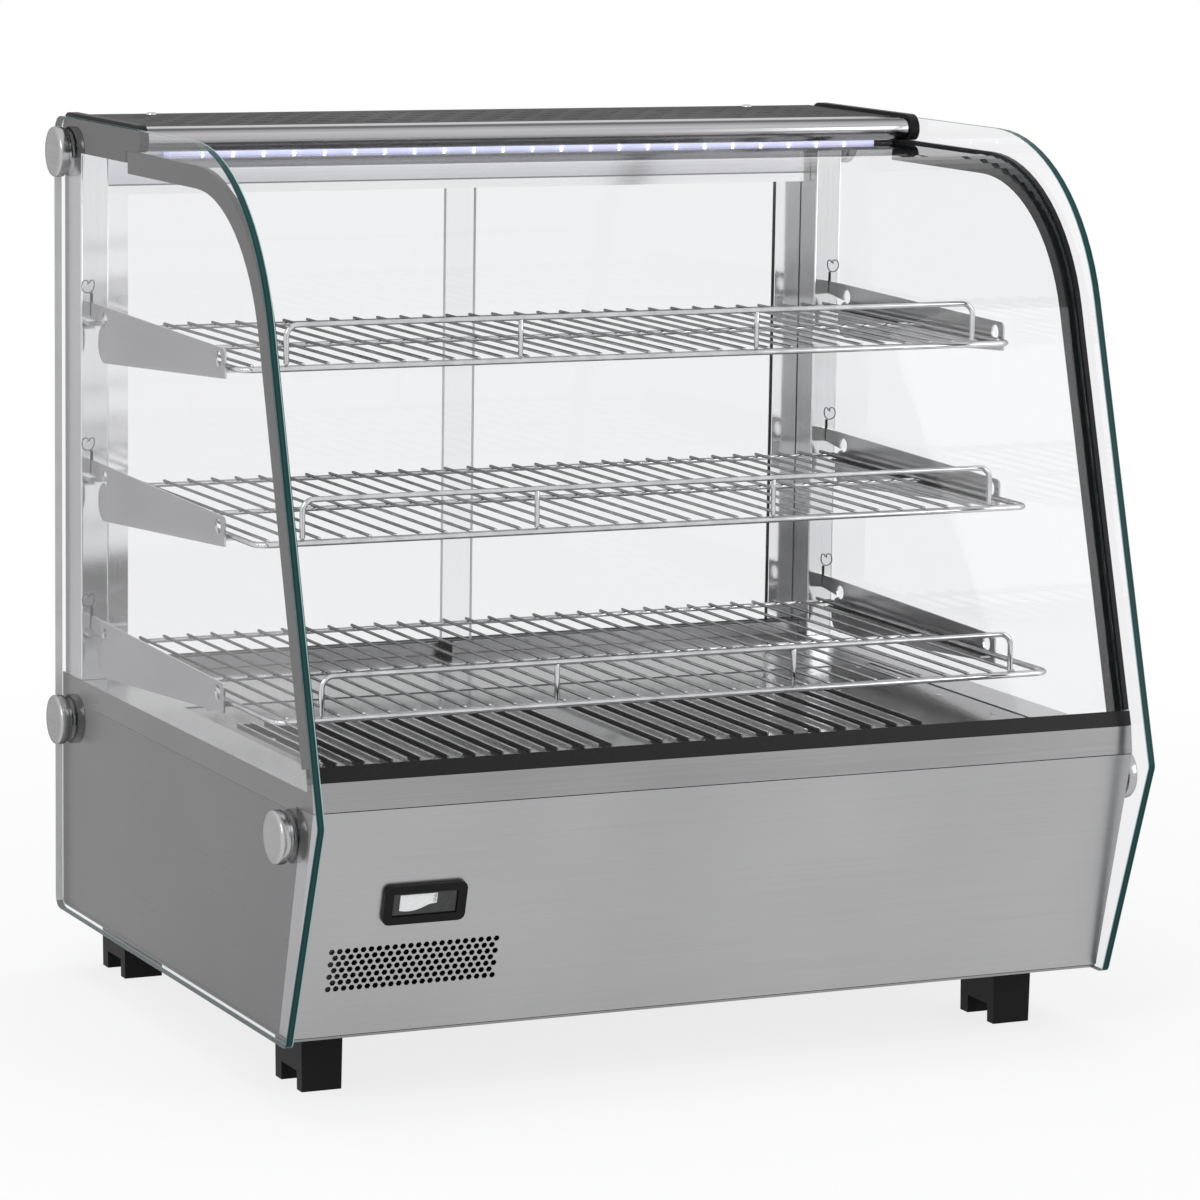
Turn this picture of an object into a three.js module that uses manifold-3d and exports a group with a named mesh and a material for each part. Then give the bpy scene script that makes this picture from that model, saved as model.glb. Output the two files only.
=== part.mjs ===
// Heated display case: curved glass front, wire shelves on hook-in brackets, sliding rear doors.
// Millimetres. +X is the viewer's right, +Y the back, +Z up. The feet stand on z = 0.
import * as THREE from 'three';
import { mergeVertices } from 'three/addons/utils/BufferGeometryUtils.js';
import Module from 'manifold-3d';

const wasm = await Module();
wasm.setup();

// Clearances and sheet sizes
const gap = 0.3; // between touching pieces
const sheet = 1.5; // folded stainless sheet
const weld = 0.4; // how deep one wire sinks into another
const bite = 0.5; // overlap of fused pieces

// Side glass outline, in y and z
const glassThick = 6;
const glassX = 339; // outer faces
const rearY = 284;
const glassFloorZ = 49;
const glassTopZ = 683;
const footFrontY = -224; // lower front corner
const kinkY = -284;
const kinkZ = 220;
const crownY = -146.5; // where the raked front line meets the top line
const crownRadius = 169;
const lowRearRadius = 10;
const topRearRadius = 15;
const tipRadius = 6;
const bodyX = glassX - glassThick - gap; // outside of the cabinet between the glasses
const linerX = bodyX - sheet; // inside of a side sheet

// Levels at the top, down from the top of the glass
const roofDeep = 27;
const roofFootZ = glassTopZ - roofDeep;
const noseDeep = 17.8;
const noseFootZ = glassTopZ - noseDeep;
const railHigh = 34;
const railFootZ = roofFootZ - railHigh;

// Curved front glass and its seals
const curveInset = 20; // outside of the curved glass behind the side glass edge
const curveThick = 5;
const curveTopEndY = 122;
const glassSeat = 0.68; // from the floor of the gasket's channel
const gasketRise = 27.85; // up the rake from the front panel
const gasketHigh = 11.5;
const gasketFloor = 4;
const gasketWall = 2.2;
const sealWidth = 10;
const sealLip = 4;
const sealNear = 18.2;
const sealFar = 35;
const sealLift = 0.6; // up the rake from the gasket
const sealEndY = 130;

// Base cabinet
const footTop = 50.7;
const panFloorZ = 51;
const panThick = 1.7;
const panelFootY = -216;
const panelFootZ = 53.5;
const panelTopY = -260.2;
const panelTopZ = 225.9;
const returnDepth = 20;
const lipDepth = 12;
const sideStep = 5.2; // down from the top of the front panel
const sideTopZ = panelTopZ - sideStep;
const rearPanelInset = 18;
const rearPanelY = rearY - rearPanelInset;
const rearFrameY = rearY - gap;
const chamberZ = 190;
const chamberFrontY = -246;

// Deck
const deckStep = 14.1; // up from the front panel
const deckZ = panelTopZ + deckStep;
const deckPlateThick = 3;
const skirtZ = sideTopZ + gap;
const deckMargin = 34.7; // beside the lift-out plate
const deckOpenX = bodyX - deckMargin;
const deckOpenFrontY = -204;
const deckOpenRearY = 98;
const ledgeIn = 7;
const ledgeOut = 10;
const slotPitch = 22;
const slotWidth = 9.5;
const slotFrontY = -163;
const slotRearY = 20;
const slotGroupStarts = [-280, -18];
const slotsPerGroup = 11;
const slotLipHigh = 2.2;
const slotLipWide = 1.2;

// Grille and display, on the raked front panel
const grilleLeft = -307;
const grillePitch = 6.1;
const grilleRowPitch = 4.95;
const grilleFirstV = 38.2;
const grilleRows = 7;
const grilleWide = 22;
const grilleHoleR = 2.4;
const displayX = -240;
const displayV = 102.5;
const bezelSize = [64, 30.5];
const bezelRadius = 5;
const bezelProud = 3.5;
const neckSize = [58, 24.5];
const neckDepth = 9;
const windowSize = [50, 18];
const windowRecess = 1.6;
const windowDepth = 6;

// Posts and rear doors
const postWide = 22.5;
const postDeep = 46;
const postInX = bodyX - postWide;
const postFrontY = rearY - postDeep;
const postRadius = 8;
const postFootZ = deckZ + gap;
const postTopZ = roofFootZ - gap;
const trackX = postInX - gap;
const trackDeep = 34;
const trackFrontY = rearY - trackDeep;
const trackBase = 1.7;
const finHigh = 8;
const finThick = 1.5;
const grooveHigh = 16;
const doorInsets = [23.5, 13.5];
const doorPlanes = doorInsets.map((inset) => rearY - inset);
const doorGlass = 5;
const doorRise = 12; // into the grooves of the rail
const doorTopZ = railFootZ + doorRise;
const doorFootZ = postFootZ + trackBase + gap;
const doorOverlap = 11;
const stileThick = 8;
const stileWide = 22;
const stileGrip = 16; // how far the glass goes into the stile
const grooveSlack = 0.5;
const guideSize = [9, 8, 12];

// Roof
const roofFrontY = 135;
const noseFrontY = 105;
const roofSlotSize = [15, 5];
const roofSlotPitchX = 24;
const roofSlotPitchY = 20;
const roofSlotRows = 6;
const roofSlotColumns = 25;
const roofSlotFrontY = 158;
const trimThick = 3;
const trimWide = 7.3;
const trimInset = 2;
const trimRearY = rearY - trimInset;
const ledMargin = 30.7;
const ledHalf = bodyX - ledMargin;
const ledSetBack = 0.7; // behind the end of the curved glass
const ledHigh = 5.5;

// Shelves
const topLevelShare = 0.6731; // of the height from deck to ceiling
const middleLevelShare = 0.375;
const bottomLevelShare = 0.0769;
const topSetBack = 88.83; // from the curved glass
const middleSetBack = 91.65;
const bottomSetBack = 88.48;
const shelfBack = 20; // from the posts
const shelfRearY = postFrontY - shelfBack;
const bracketInset = 7.7;
const bracketX = bodyX - bracketInset; // outer face of a bracket's plate
const rimRadius = 2.2;
const shelfSlack = 1.7; // between the rim and the plate
const shelfHalf = bracketX - sheet - rimRadius - shelfSlack;
const crossRadius = 1.9;
const cornerRadius = 11;
const wireSide = 2.4;
const wirePitch = 20;
const wireMargin = 9;
const wireCount = Math.floor((2 * (shelfHalf - wireMargin)) / wirePitch) + 1;
const wireTail = 4;
const guardInset = 34.6;
const guardHalf = shelfHalf - guardInset;
const guardHigh = 32.5;
const guardRadius = 2.1;
const guardBend = 9;
const guardInner = 98;

// Shelf brackets, heights from the shelf rim's middle line
const bracketFrontY = -60;
const bracketFront = [-8, 14];
const bracketRear = [-26, 19.5];
const bracketLedge = 12;
const bracketTip = 3;
const heelGap = 18; // from the rounded heel to the post
const heelY = postFrontY - heelGap;
const neckFoot = 5; // underside of the neck that carries the hook
const hookLow = 9;
const hookHigh = 7;
const hookDrop = 5;
const hookReach = 5;
const hookLift = 6; // free height in the slot, for hanging the bracket
const hookSlotX = 2.4;
const holeInset = 13;
const holeFront = { y: bracketFrontY + holeInset, z: 5.5, w: 12, h: 12 };
const holeRear = { y: shelfRearY - holeInset, z: 9, w: 13, h: 12 };

// Glass caps
const capRadius = 19.6;
const capThick = 10.3;
const capNeckRadius = 17.4;
const capNeck = 2.6;
const capEdge = 1.2;
const studRadius = 4.5;
const studHole = 5.2;
const capInset = 26; // rear caps, in from the glass edge
const capDrop = 27; // top caps, down from the glass edge
const capLowZ = 206;
const capFront = [-223, 204];
const capPlaces = {
  rear_top: [rearY - capInset, glassTopZ - capDrop],
  rear_low: [rearY - capInset, capLowZ],
  front: capFront,
};

// Feet
const footWide = 31;
const footInset = 45.2;
const footX = bodyX - footInset;
const footLong = 53;
const footRearInset = 65;
const footFronts = { front: -166, rear: rearY - footRearInset };
const footLegs = [10, 12];
const footArch = 14;
const footDraft = 1.6;

// Rear controls
const knobX = 214;
const knobZ = 140;
const knobSkirt = 19;
const knobGrip = 13.5;
const knobHigh = 14;
const knobSkirtHigh = 3;
const knobRidge = 4;
const shaftRadius = 3;
const shaftDepth = 12;
const switchX = 262;
const switchZ = 140;
const switchFlange = [56, 32];
const switchNeck = [50, 26];
const switchWindow = [19, 22.4];
const switchCentre = 12.5;
const switchProud = 2;
const switchDepth = 12;
const rockerSize = [18.4, 19.4];
const rockerHigh = 9;
const rockerDish = 1.6;
const rockerPivot = 3.5; // behind the panel's face
const rockerTilt = 0.14; // off position, radians
const glandX = 290;
const glandZ = 84;
const glandRadius = 10;
const glandBore = 4.5;
const glandHigh = 15;
const glandNut = 5;
const ventSlots = 9;
const ventPitch = 14;
const ventSize = [6, 60];
const ventX = -230;
const ventZ = 120;

// Fan and heater
const fanX = -165;
const fanY = -55;
const fanSide = 120;
const fanHigh = 25;
const fanBore = 56;
const fanHub = 19;
const fanBladeTip = 53;
const fanBladeCount = 7;
const fanBladeThick = 2;
const fanBladeDeep = 12;
const fanBladeTilt = 0.6;
const spiderHigh = 3;
const strutWide = 7;
const heaterRadius = 4;
const heaterZ = 212;
const heaterRuns = [-225, -185, -145, -105];
const heaterY = [-140, 30];
const heaterBend = 18;

// Facet counts
const bendSteps = 5;
const crownSteps = 16;
const tubeSides = 6;
const capSides = 16;
const holeSides = 10;
const hexSides = 6;
const half = 1 / 2;

const group = new THREE.Group();
group.name = 'heated_display_case';

// Materials
const finish = {
  brushed: { color: 0xa6a8a9, roughness: 0.38, metalness: 0.9 },
  polished: { color: 0xd4d6d8, roughness: 0.16, metalness: 0.95 },
  wire: { color: 0xd8dadc, roughness: 0.2, metalness: 0.95 },
  glass: { color: 0xdcebe8, roughness: 0.03, metalness: 0.0 },
  black: { color: 0x17181a, roughness: 0.5, metalness: 0.0 },
  led: { color: 0xe9efff, roughness: 0.4, metalness: 0.0 },
  display: { color: 0xc9cfd0, roughness: 0.2, metalness: 0.0 },
  heater: { color: 0x5b4a42, roughness: 0.55, metalness: 0.7 },
};

// Adds one closed body to the case.
function add(name, geometry, look) {
  const mesh = new THREE.Mesh(geometry, new THREE.MeshStandardMaterial(finish[look]));
  mesh.name = name;
  group.add(mesh);
}

// Booleans
function toSolid(geometry) {
  const plain = geometry.clone();
  plain.deleteAttribute('normal');
  plain.deleteAttribute('uv');
  const merged = mergeVertices(plain, 1e-4);
  const corners = Array.from(merged.index.array);
  const kept = corners.filter((_, i) => {
    const [a, b, c] = corners.slice(i - (i % 3), i - (i % 3) + 3);
    return a !== b && b !== c && c !== a;
  });
  return new wasm.Manifold(new wasm.Mesh({
    numProp: 3,
    vertProperties: new Float32Array(merged.attributes.position.array),
    triVerts: new Uint32Array(kept),
  }));
}

function toGeometry(solid) {
  const mesh = solid.getMesh();
  const geometry = new THREE.BufferGeometry();
  geometry.setAttribute('position', new THREE.BufferAttribute(new Float32Array(mesh.vertProperties), 3));
  geometry.setIndex(new THREE.BufferAttribute(new Uint32Array(mesh.triVerts), 1));
  const flat = geometry.toNonIndexed();
  flat.computeVertexNormals();
  return flat;
}

function fuse(...geometries) {
  return toGeometry(geometries.map(toSolid).reduce((sum, next) => sum.add(next)));
}

function cut(geometry, ...tools) {
  return toGeometry(tools.map(toSolid).reduce((rest, tool) => rest.subtract(tool), toSolid(geometry)));
}

// A box between two corners.
function box(x, y, z) {
  const geometry = new THREE.BoxGeometry(x[1] - x[0], y[1] - y[0], z[1] - z[0]);
  return geometry.translate((x[0] + x[1]) * half, (y[0] + y[1]) * half, (z[0] + z[1]) * half);
}

// Outlines as closed point lists
function path2(points) {
  return points.map(([u, v]) => new THREE.Vector2(u, v));
}

function rectangle(u, v) {
  return [[u[0], v[0]], [u[1], v[0]], [u[1], v[1]], [u[0], v[1]]];
}

// Rounds every corner that has a radius as its third value.
function rounded(corners, steps = bendSteps) {
  const out = [];
  corners.forEach(([u, v, radius], i) => {
    const here = new THREE.Vector2(u, v);
    if (!radius) {
      out.push([u, v]);
      return;
    }
    const [pu, pv] = corners[(i + corners.length - 1) % corners.length];
    const [nu, nv] = corners[(i + 1) % corners.length];
    const back = new THREE.Vector2(pu, pv).sub(here).normalize();
    const ahead = new THREE.Vector2(nu, nv).sub(here).normalize();
    const opening = Math.acos(back.dot(ahead));
    const reach = radius / Math.tan(opening * half);
    const toCentre = radius / Math.sin(opening * half);
    const centre = back.clone().add(ahead).normalize().multiplyScalar(toCentre).add(here);
    const start = here.clone().addScaledVector(back, reach).sub(centre);
    const turn = (Math.PI - opening) * Math.sign(back.cross(ahead)) * -1;
    const count = radius > lowRearRadius * bendSteps ? crownSteps : steps;
    for (let k = 0; k <= count; k += 1) {
      const spoke = start.clone().rotateAround(new THREE.Vector2(), turn * (k / count));
      out.push([centre.x + spoke.x, centre.y + spoke.y]);
    }
  });
  return out;
}

function ring(radius, sides, u = 0, v = 0, stretch = 1) {
  return Array.from({ length: sides }, (_, i) => {
    const angle = (i / sides) * 2 * Math.PI;
    return [u + radius * Math.cos(angle), v + radius * stretch * Math.sin(angle)];
  });
}

// Extrusions: the outline's plane names the axes, and the range runs along the third.
const turnTo = {
  yz: new THREE.Matrix4().makeBasis(
    new THREE.Vector3(0, 1, 0), new THREE.Vector3(0, 0, 1), new THREE.Vector3(1, 0, 0)),
  xz: new THREE.Matrix4().makeBasis(
    new THREE.Vector3(1, 0, 0), new THREE.Vector3(0, 0, 1), new THREE.Vector3(0, -1, 0)),
  xy: new THREE.Matrix4(),
};

function prism(plane, outline, from, to) {
  const shape = new THREE.Shape(path2(outline));
  const geometry = new THREE.ExtrudeGeometry(shape, { depth: to - from, bevelEnabled: false, steps: 1 });
  if (plane === 'xz') return geometry.applyMatrix4(turnTo.xz).translate(0, to, 0);
  geometry.translate(0, 0, from);
  return geometry.applyMatrix4(turnTo[plane]);
}

// A prism with one straight opening for each hole outline
function extrude(plane, outline, from, to, holes = []) {
  const whole = prism(plane, outline, from, to);
  if (!holes.length) return whole;
  return cut(whole, ...holes.map((hole) => prism(plane, hole, from - bite, to + bite)));
}

function mirrorX(geometry) {
  const mirrored = geometry.index ? geometry.toNonIndexed() : geometry.clone();
  mirrored.scale(-1, 1, 1);
  const position = mirrored.attributes.position;
  for (let i = 0; i < position.count; i += 3) {
    const a = [position.getX(i), position.getY(i), position.getZ(i)];
    position.setXYZ(i, position.getX(i + 1), position.getY(i + 1), position.getZ(i + 1));
    position.setXYZ(i + 1, ...a);
  }
  mirrored.computeVertexNormals();
  return mirrored;
}

// A right-hand piece and its mirror image.
function addPair(name, geometry, look) {
  add(`${name}_right`, geometry, look);
  add(`${name}_left`, mirrorX(geometry), look);
}

// A wire's centre line: straight runs between points, with the bends' points given.
class WirePath extends THREE.Curve {
  constructor(points) {
    super();
    this.points = points;
  }

  getPoint(t, target = new THREE.Vector3()) {
    const at = t * (this.points.length - 1);
    const i = Math.min(Math.floor(at), this.points.length - 2);
    return target.lerpVectors(this.points[i], this.points[i + 1], at - i);
  }

  getPointAt(t, target) {
    return this.getPoint(t, target);
  }

  getTangent(t, target = new THREE.Vector3()) {
    const last = this.points.length - 1;
    const i = Math.round(t * last);
    const before = this.points[Math.max(i - 1, 0)];
    const after = this.points[Math.min(i + 1, last)];
    return target.subVectors(after, before).normalize();
  }

  getTangentAt(t, target) {
    return this.getTangent(t, target);
  }
}

// Wire of one radius along corner points, each bend turned with the given radius.
function wire(corners, radius, bend, sides = tubeSides, steps = bendSteps) {
  const points = [];
  corners.forEach((corner, i) => {
    const here = new THREE.Vector3(...corner);
    if (i === 0 || i === corners.length - 1) {
      points.push(here);
      return;
    }
    const back = new THREE.Vector3(...corners[i - 1]).sub(here).normalize();
    const ahead = new THREE.Vector3(...corners[i + 1]).sub(here).normalize();
    const opening = back.angleTo(ahead);
    const reach = bend / Math.tan(opening * half);
    const toCentre = bend / Math.sin(opening * half);
    const centre = back.clone().add(ahead).normalize().multiplyScalar(toCentre).add(here);
    const start = here.clone().addScaledVector(back, reach).sub(centre);
    const axis = back.clone().cross(ahead).normalize().negate();
    for (let k = 0; k <= steps; k += 1) {
      points.push(start.clone().applyAxisAngle(axis, (Math.PI - opening) * (k / steps)).add(centre));
    }
  });
  return new THREE.ExtrudeGeometry(new THREE.Shape(path2(ring(radius, sides))), {
    extrudePath: new WirePath(points),
    steps: points.length - 1,
    bevelEnabled: false,
  });
}

// A straight rod along one axis.
function rod(axis, radius, from, to, a, b, sides = tubeSides) {
  if (axis === 'x') return extrude('yz', ring(radius, sides, a, b), from, to);
  if (axis === 'y') return extrude('xz', ring(radius, sides, a, b), from, to);
  return extrude('xy', ring(radius, sides, a, b), from, to);
}

// A turned piece: profile pairs are radius and height, about the line through x, z or y, z.
function turned(profile, sides, axis) {
  const geometry = toGeometry(toSolid(new THREE.LatheGeometry(path2(profile), sides)));
  if (axis === 'x') return geometry.rotateZ(-Math.PI * half);
  return geometry;
}

// Side glass: rear edge, straight raked front, large crown bend
const rakeDirection = new THREE.Vector2(crownY - kinkY, glassTopZ - kinkZ).normalize();
const rakeNormal = new THREE.Vector2(rakeDirection.y, -rakeDirection.x);
const sideOutline = rounded([
  [rearY, glassFloorZ, lowRearRadius],
  [rearY, glassTopZ, topRearRadius],
  [crownY, glassTopZ, crownRadius],
  [kinkY, kinkZ, tipRadius],
  [footFrontY, glassFloorZ, tipRadius],
]);
const capHoles = Object.values(capPlaces).map(([y, z]) => ring(studHole, holeSides, y, z));
addPair('side_glass', extrude('yz', sideOutline, bodyX + gap, glassX, capHoles), 'glass');

// Points set back from the raked front and the top by an inset
function rakePoint(along, inset) {
  return [
    kinkY + rakeDirection.x * along + rakeNormal.x * inset,
    kinkZ + rakeDirection.y * along + rakeNormal.y * inset,
  ];
}

// The raked line at a height, set back by an inset
function rakeY(z, inset) {
  return rakePoint((z - kinkZ - rakeNormal.y * inset) / rakeDirection.y, inset)[0];
}

const gasketStart = (panelTopZ - kinkZ) / rakeDirection.y + gasketRise;
const gasketAlong = [gasketStart, gasketStart + gasketHigh];
const curveFootZ = rakePoint(gasketAlong[0] + gasketFloor, curveInset - gap)[1] + glassSeat;
const sealFootAlong = gasketAlong[1] + sealLift;

function curvePath(inset, footZ, endY) {
  const along = (footZ - kinkZ - rakeNormal.y * inset) / rakeDirection.y;
  const foot = rakePoint(along, inset);
  const topZ = glassTopZ - inset;
  const toCorner = (topZ - kinkZ - rakeNormal.y * inset) / rakeDirection.y;
  const corner = rakePoint(toCorner, inset);
  const shaped = rounded([foot, [...corner, crownRadius - inset], [endY, topZ]]);
  return shaped;
}

function curveBand(near, far, footZ, endY) {
  return [...curvePath(near, footZ, endY), ...curvePath(far, footZ, endY).reverse()];
}

// Curved front glass on the ledges of the two side seals
const glassFar = curveInset + curveThick;
const shelfLevels = {};
const shelfFronts = {};
[
  ['top', topLevelShare, topSetBack],
  ['middle', middleLevelShare, middleSetBack],
  ['bottom', bottomLevelShare, bottomSetBack],
].forEach(([name, share, setBack]) => {
  shelfLevels[name] = deckZ + share * (roofFootZ - deckZ);
  shelfFronts[name] = rakeY(shelfLevels[name], glassFar) + setBack;
});
const curveGlassX = bodyX - sealLip - gap;
add('curved_glass', extrude('yz', curveBand(curveInset, glassFar, curveFootZ, curveTopEndY),
  -curveGlassX, curveGlassX), 'glass');
// Their feet are cut square to the rake, just above the gasket
function sealBand(near, far) {
  const footZ = (inset) => rakePoint(sealFootAlong, inset)[1];
  return [...curvePath(near, footZ(near), sealEndY), ...curvePath(far, footZ(far), sealEndY).reverse()];
}

const sealOuter = extrude('yz', sealBand(sealNear, sealFar), bodyX - sealLip, bodyX);
const sealInner = extrude('yz', sealBand(glassFar + gap, sealFar), bodyX - sealWidth, bodyX - sealLip + bite);
addPair('side_seal', fuse(sealOuter, sealInner), 'black');

// Channel gasket under the curved glass
const gasketNear = curveInset - gap - gasketWall;
const gasketFar = glassFar + gap + gasketWall;
const gasketOutline = [
  rakePoint(gasketAlong[0], gasketNear),
  rakePoint(gasketAlong[1], gasketNear),
  rakePoint(gasketAlong[1], curveInset - gap),
  rakePoint(gasketAlong[0] + gasketFloor, curveInset - gap),
  rakePoint(gasketAlong[0] + gasketFloor, glassFar + gap),
  rakePoint(gasketAlong[1], glassFar + gap),
  rakePoint(gasketAlong[1], gasketFar),
  rakePoint(gasketAlong[0], gasketFar),
];
add('glass_gasket', extrude('yz', gasketOutline, -bodyX, bodyX), 'black');

// Deck frame: folded fascia, top, side and rear skirts, and a rebate for the deck plate
const [gasketFrontY, gasketFrontZ] = rakePoint(gasketAlong[0], gasketNear);
const [gasketBackY, gasketBackZ] = rakePoint(gasketAlong[0], gasketFar);
const deckUnder = deckZ - deckPlateThick;
const rebateFloor = deckUnder + bite;
const fasciaFoot = panelTopZ + 2 * gap;
const skirtFrontY = panelTopY + returnDepth + lipDepth;
const deckBody = extrude('yz', [
  [panelTopY, fasciaFoot],
  [skirtFrontY, fasciaFoot],
  [skirtFrontY, skirtZ],
  [rearFrameY, skirtZ],
  [rearFrameY, deckZ],
  [gasketBackY, deckZ],
  [gasketBackY, gasketBackZ - gap],
  [gasketFrontY, gasketFrontZ - gap],
], -bodyX, bodyX);
const deckHollow = extrude('yz', [
  [panelTopY + sheet, fasciaFoot - bite],
  [skirtFrontY - sheet, skirtZ - bite],
  [rearFrameY - sheet, skirtZ - bite],
  [rearFrameY - sheet, deckUnder],
  [gasketFrontY + sheet, deckUnder],
], -linerX, linerX);
function deckRectangle(grow) {
  return rectangle([-deckOpenX - grow, deckOpenX + grow], [deckOpenFrontY - grow, deckOpenRearY + grow]);
}
const deckOpening = extrude('xy', deckRectangle(0), deckUnder - bite, deckZ + bite);
const rebate = extrude('xy', deckRectangle(ledgeOut), deckUnder - sheet, rebateFloor, [deckRectangle(-ledgeIn)]);
add('deck_frame', fuse(cut(deckBody, deckHollow, deckOpening), rebate), 'brushed');

// Slotted lift-out deck plate: rounded slots with a raised lip along each side
const plateX = deckOpenX - gap;
const plateY = [deckOpenFrontY + gap, deckOpenRearY - gap];
const plateZ = [rebateFloor + gap, rebateFloor + gap + sheet];
const slotXs = slotGroupStarts.flatMap((start) => (
  Array.from({ length: slotsPerGroup }, (_, i) => start + i * slotPitch)));
const slotHoles = slotXs.map((x) => rounded([
  [x - slotWidth * half, slotFrontY, slotWidth * half - weld],
  [x + slotWidth * half, slotFrontY, slotWidth * half - weld],
  [x + slotWidth * half, slotRearY, slotWidth * half - weld],
  [x - slotWidth * half, slotRearY, slotWidth * half - weld],
], 2));
const slottedSheet = extrude('xy', rectangle([-plateX, plateX], plateY), plateZ[0], plateZ[1], slotHoles);
const slotLips = slotXs.flatMap((x) => [-1, 1].map((side) => {
  const edge = x + side * slotWidth * half;
  const lipX = [edge, edge + side * slotLipWide].sort((a, b) => a - b);
  return box(lipX, [slotFrontY + slotWidth * half, slotRearY - slotWidth * half],
    [plateZ[0] + bite, plateZ[1] + slotLipHigh]);
}));
add('deck_plate', fuse(slottedSheet, ...slotLips), 'brushed');

// Raked front panel: its own frame has u along x, v up the rake and w out of the face
const rise = new THREE.Vector3(0, panelTopY - panelFootY, panelTopZ - panelFootZ);
const panelLength = rise.length();
rise.normalize();
const panelFrame = new THREE.Matrix4().makeBasis(
  new THREE.Vector3(1, 0, 0), rise, new THREE.Vector3(0, -rise.z, rise.y),
).setPosition(0, panelFootY, panelFootZ);

function onPanel(outline, from, to, holes = []) {
  return extrude('xy', outline, from, to, holes).applyMatrix4(panelFrame);
}

function panelBox(u, v, w) {
  return box(u, v, w).applyMatrix4(panelFrame);
}

function centred(size, u, v, grow = 0) {
  const reachU = size[0] * half + grow;
  const reachV = size[1] * half + grow;
  return rectangle([u - reachU, u + reachU], [v - reachV, v + reachV]);
}

const grilleHoles = [];
for (let row = 0; row < grilleRows; row += 1) {
  const odd = row % 2;
  for (let i = 0; i < grilleWide - odd; i += 1) {
    const u = grilleLeft + (i + odd * half) * grillePitch;
    grilleHoles.push(ring(grilleHoleR, hexSides, u, grilleFirstV + row * grilleRowPitch));
  }
}
const panelSheet = onPanel(rectangle([-bodyX, bodyX], [0, panelLength]), -sheet, 0,
  [...grilleHoles, centred(neckSize, displayX, displayV, gap)]);
function rakedY(z) {
  return panelFootY + (rise.y / rise.z) * (z - panelFootZ);
}
const sideReturn = extrude('yz', [
  [rakedY(panelTopZ) + bite, panelTopZ],
  [rakedY(panelFootZ) + bite, panelFootZ],
  [rakedY(panelFootZ) + returnDepth, panelFootZ],
  [rakedY(panelTopZ) + returnDepth, panelTopZ],
], linerX, bodyX);
const footReturn = panelBox([-bodyX + bite, bodyX - bite], [0, sheet], [-lipDepth, -bite]);
add('front_panel', fuse(panelSheet, sideReturn, mirrorX(sideReturn), footReturn), 'brushed');

// Thermometer display in the front panel
const windowHole = centred(windowSize, displayX, displayV);
const bezelCorners = centred(bezelSize, displayX, displayV).map(([u, v]) => [u, v, bezelRadius]);
const bezelFace = onPanel(rounded(bezelCorners, 3), gap, bezelProud, [windowHole]);
const bezelNeck = onPanel(centred(neckSize, displayX, displayV), -neckDepth, gap + bite, [windowHole]);
const bezelBack = onPanel(centred(neckSize, displayX, displayV), -neckDepth - sheet, -neckDepth + bite);
add('display_bezel', fuse(bezelFace, bezelNeck, bezelBack), 'black');
add('display_window', onPanel(centred(windowSize, displayX, displayV, -gap),
  -windowDepth - windowRecess, bezelProud - windowRecess), 'display');

// Base cabinet sheets
const panTop = panFloorZ + panThick;
add('base_pan', box([-bodyX, bodyX], [panelFootY + sheet, rearFrameY], [panFloorZ, panTop]), 'brushed');
const returnBack = returnDepth + gap;
const sidePanel = extrude('yz', [
  [rearFrameY, panTop + gap],
  [rearFrameY, sideTopZ],
  [rakedY(sideTopZ) + returnBack, sideTopZ],
  [rakedY(panTop + gap) + returnBack, panTop + gap],
], linerX, bodyX);
addPair('side_panel', sidePanel, 'brushed');
const liner = linerX - gap;
const ventHoles = Array.from({ length: ventSlots }, (_, i) => (
  centred(ventSize, ventX + i * ventPitch, ventZ)));
const rearSheet = extrude('xz', rectangle([-liner, liner], [panTop + gap, skirtZ - gap]),
  rearPanelY - sheet, rearPanelY, [
    ...ventHoles,
    ring(shaftRadius + gap, holeSides, knobX, knobZ),
    centred(switchNeck, switchX, switchZ, gap),
    ring(glandRadius * half + gap, holeSides, glandX, glandZ),
  ]);
add('rear_panel', rearSheet, 'brushed');
add('chamber_floor', extrude('xy', rectangle([-liner, liner], [chamberFrontY, rearPanelY - sheet - gap]),
  chamberZ, chamberZ + sheet, [ring(fanBore, capSides, fanX, fanY)]), 'brushed');

// Feet: tapered blocks with an arch between two legs
function foot(frontY) {
  const outline = [
    [frontY, 0],
    [frontY, footTop],
    [frontY + footLong, footTop],
    [frontY + footLong, 0],
    [frontY + footLong - footLegs[1], 0],
    [frontY + footLong - footLegs[1], footArch],
    [frontY + footLegs[0], footArch],
    [frontY + footLegs[0], 0],
  ].reverse();
  const geometry = extrude('yz', outline, footX - footWide * half, footX + footWide * half);
  const position = geometry.attributes.position;
  for (let i = 0; i < position.count; i += 1) {
    const spread = 1 + (footDraft / footWide) * (position.getZ(i) / footTop);
    position.setX(i, footX + (position.getX(i) - footX) * spread);
  }
  geometry.computeVertexNormals();
  return geometry;
}
addPair('foot_front', foot(footFronts.front), 'black');
addPair('foot_rear', foot(footFronts.rear), 'black');

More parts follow.
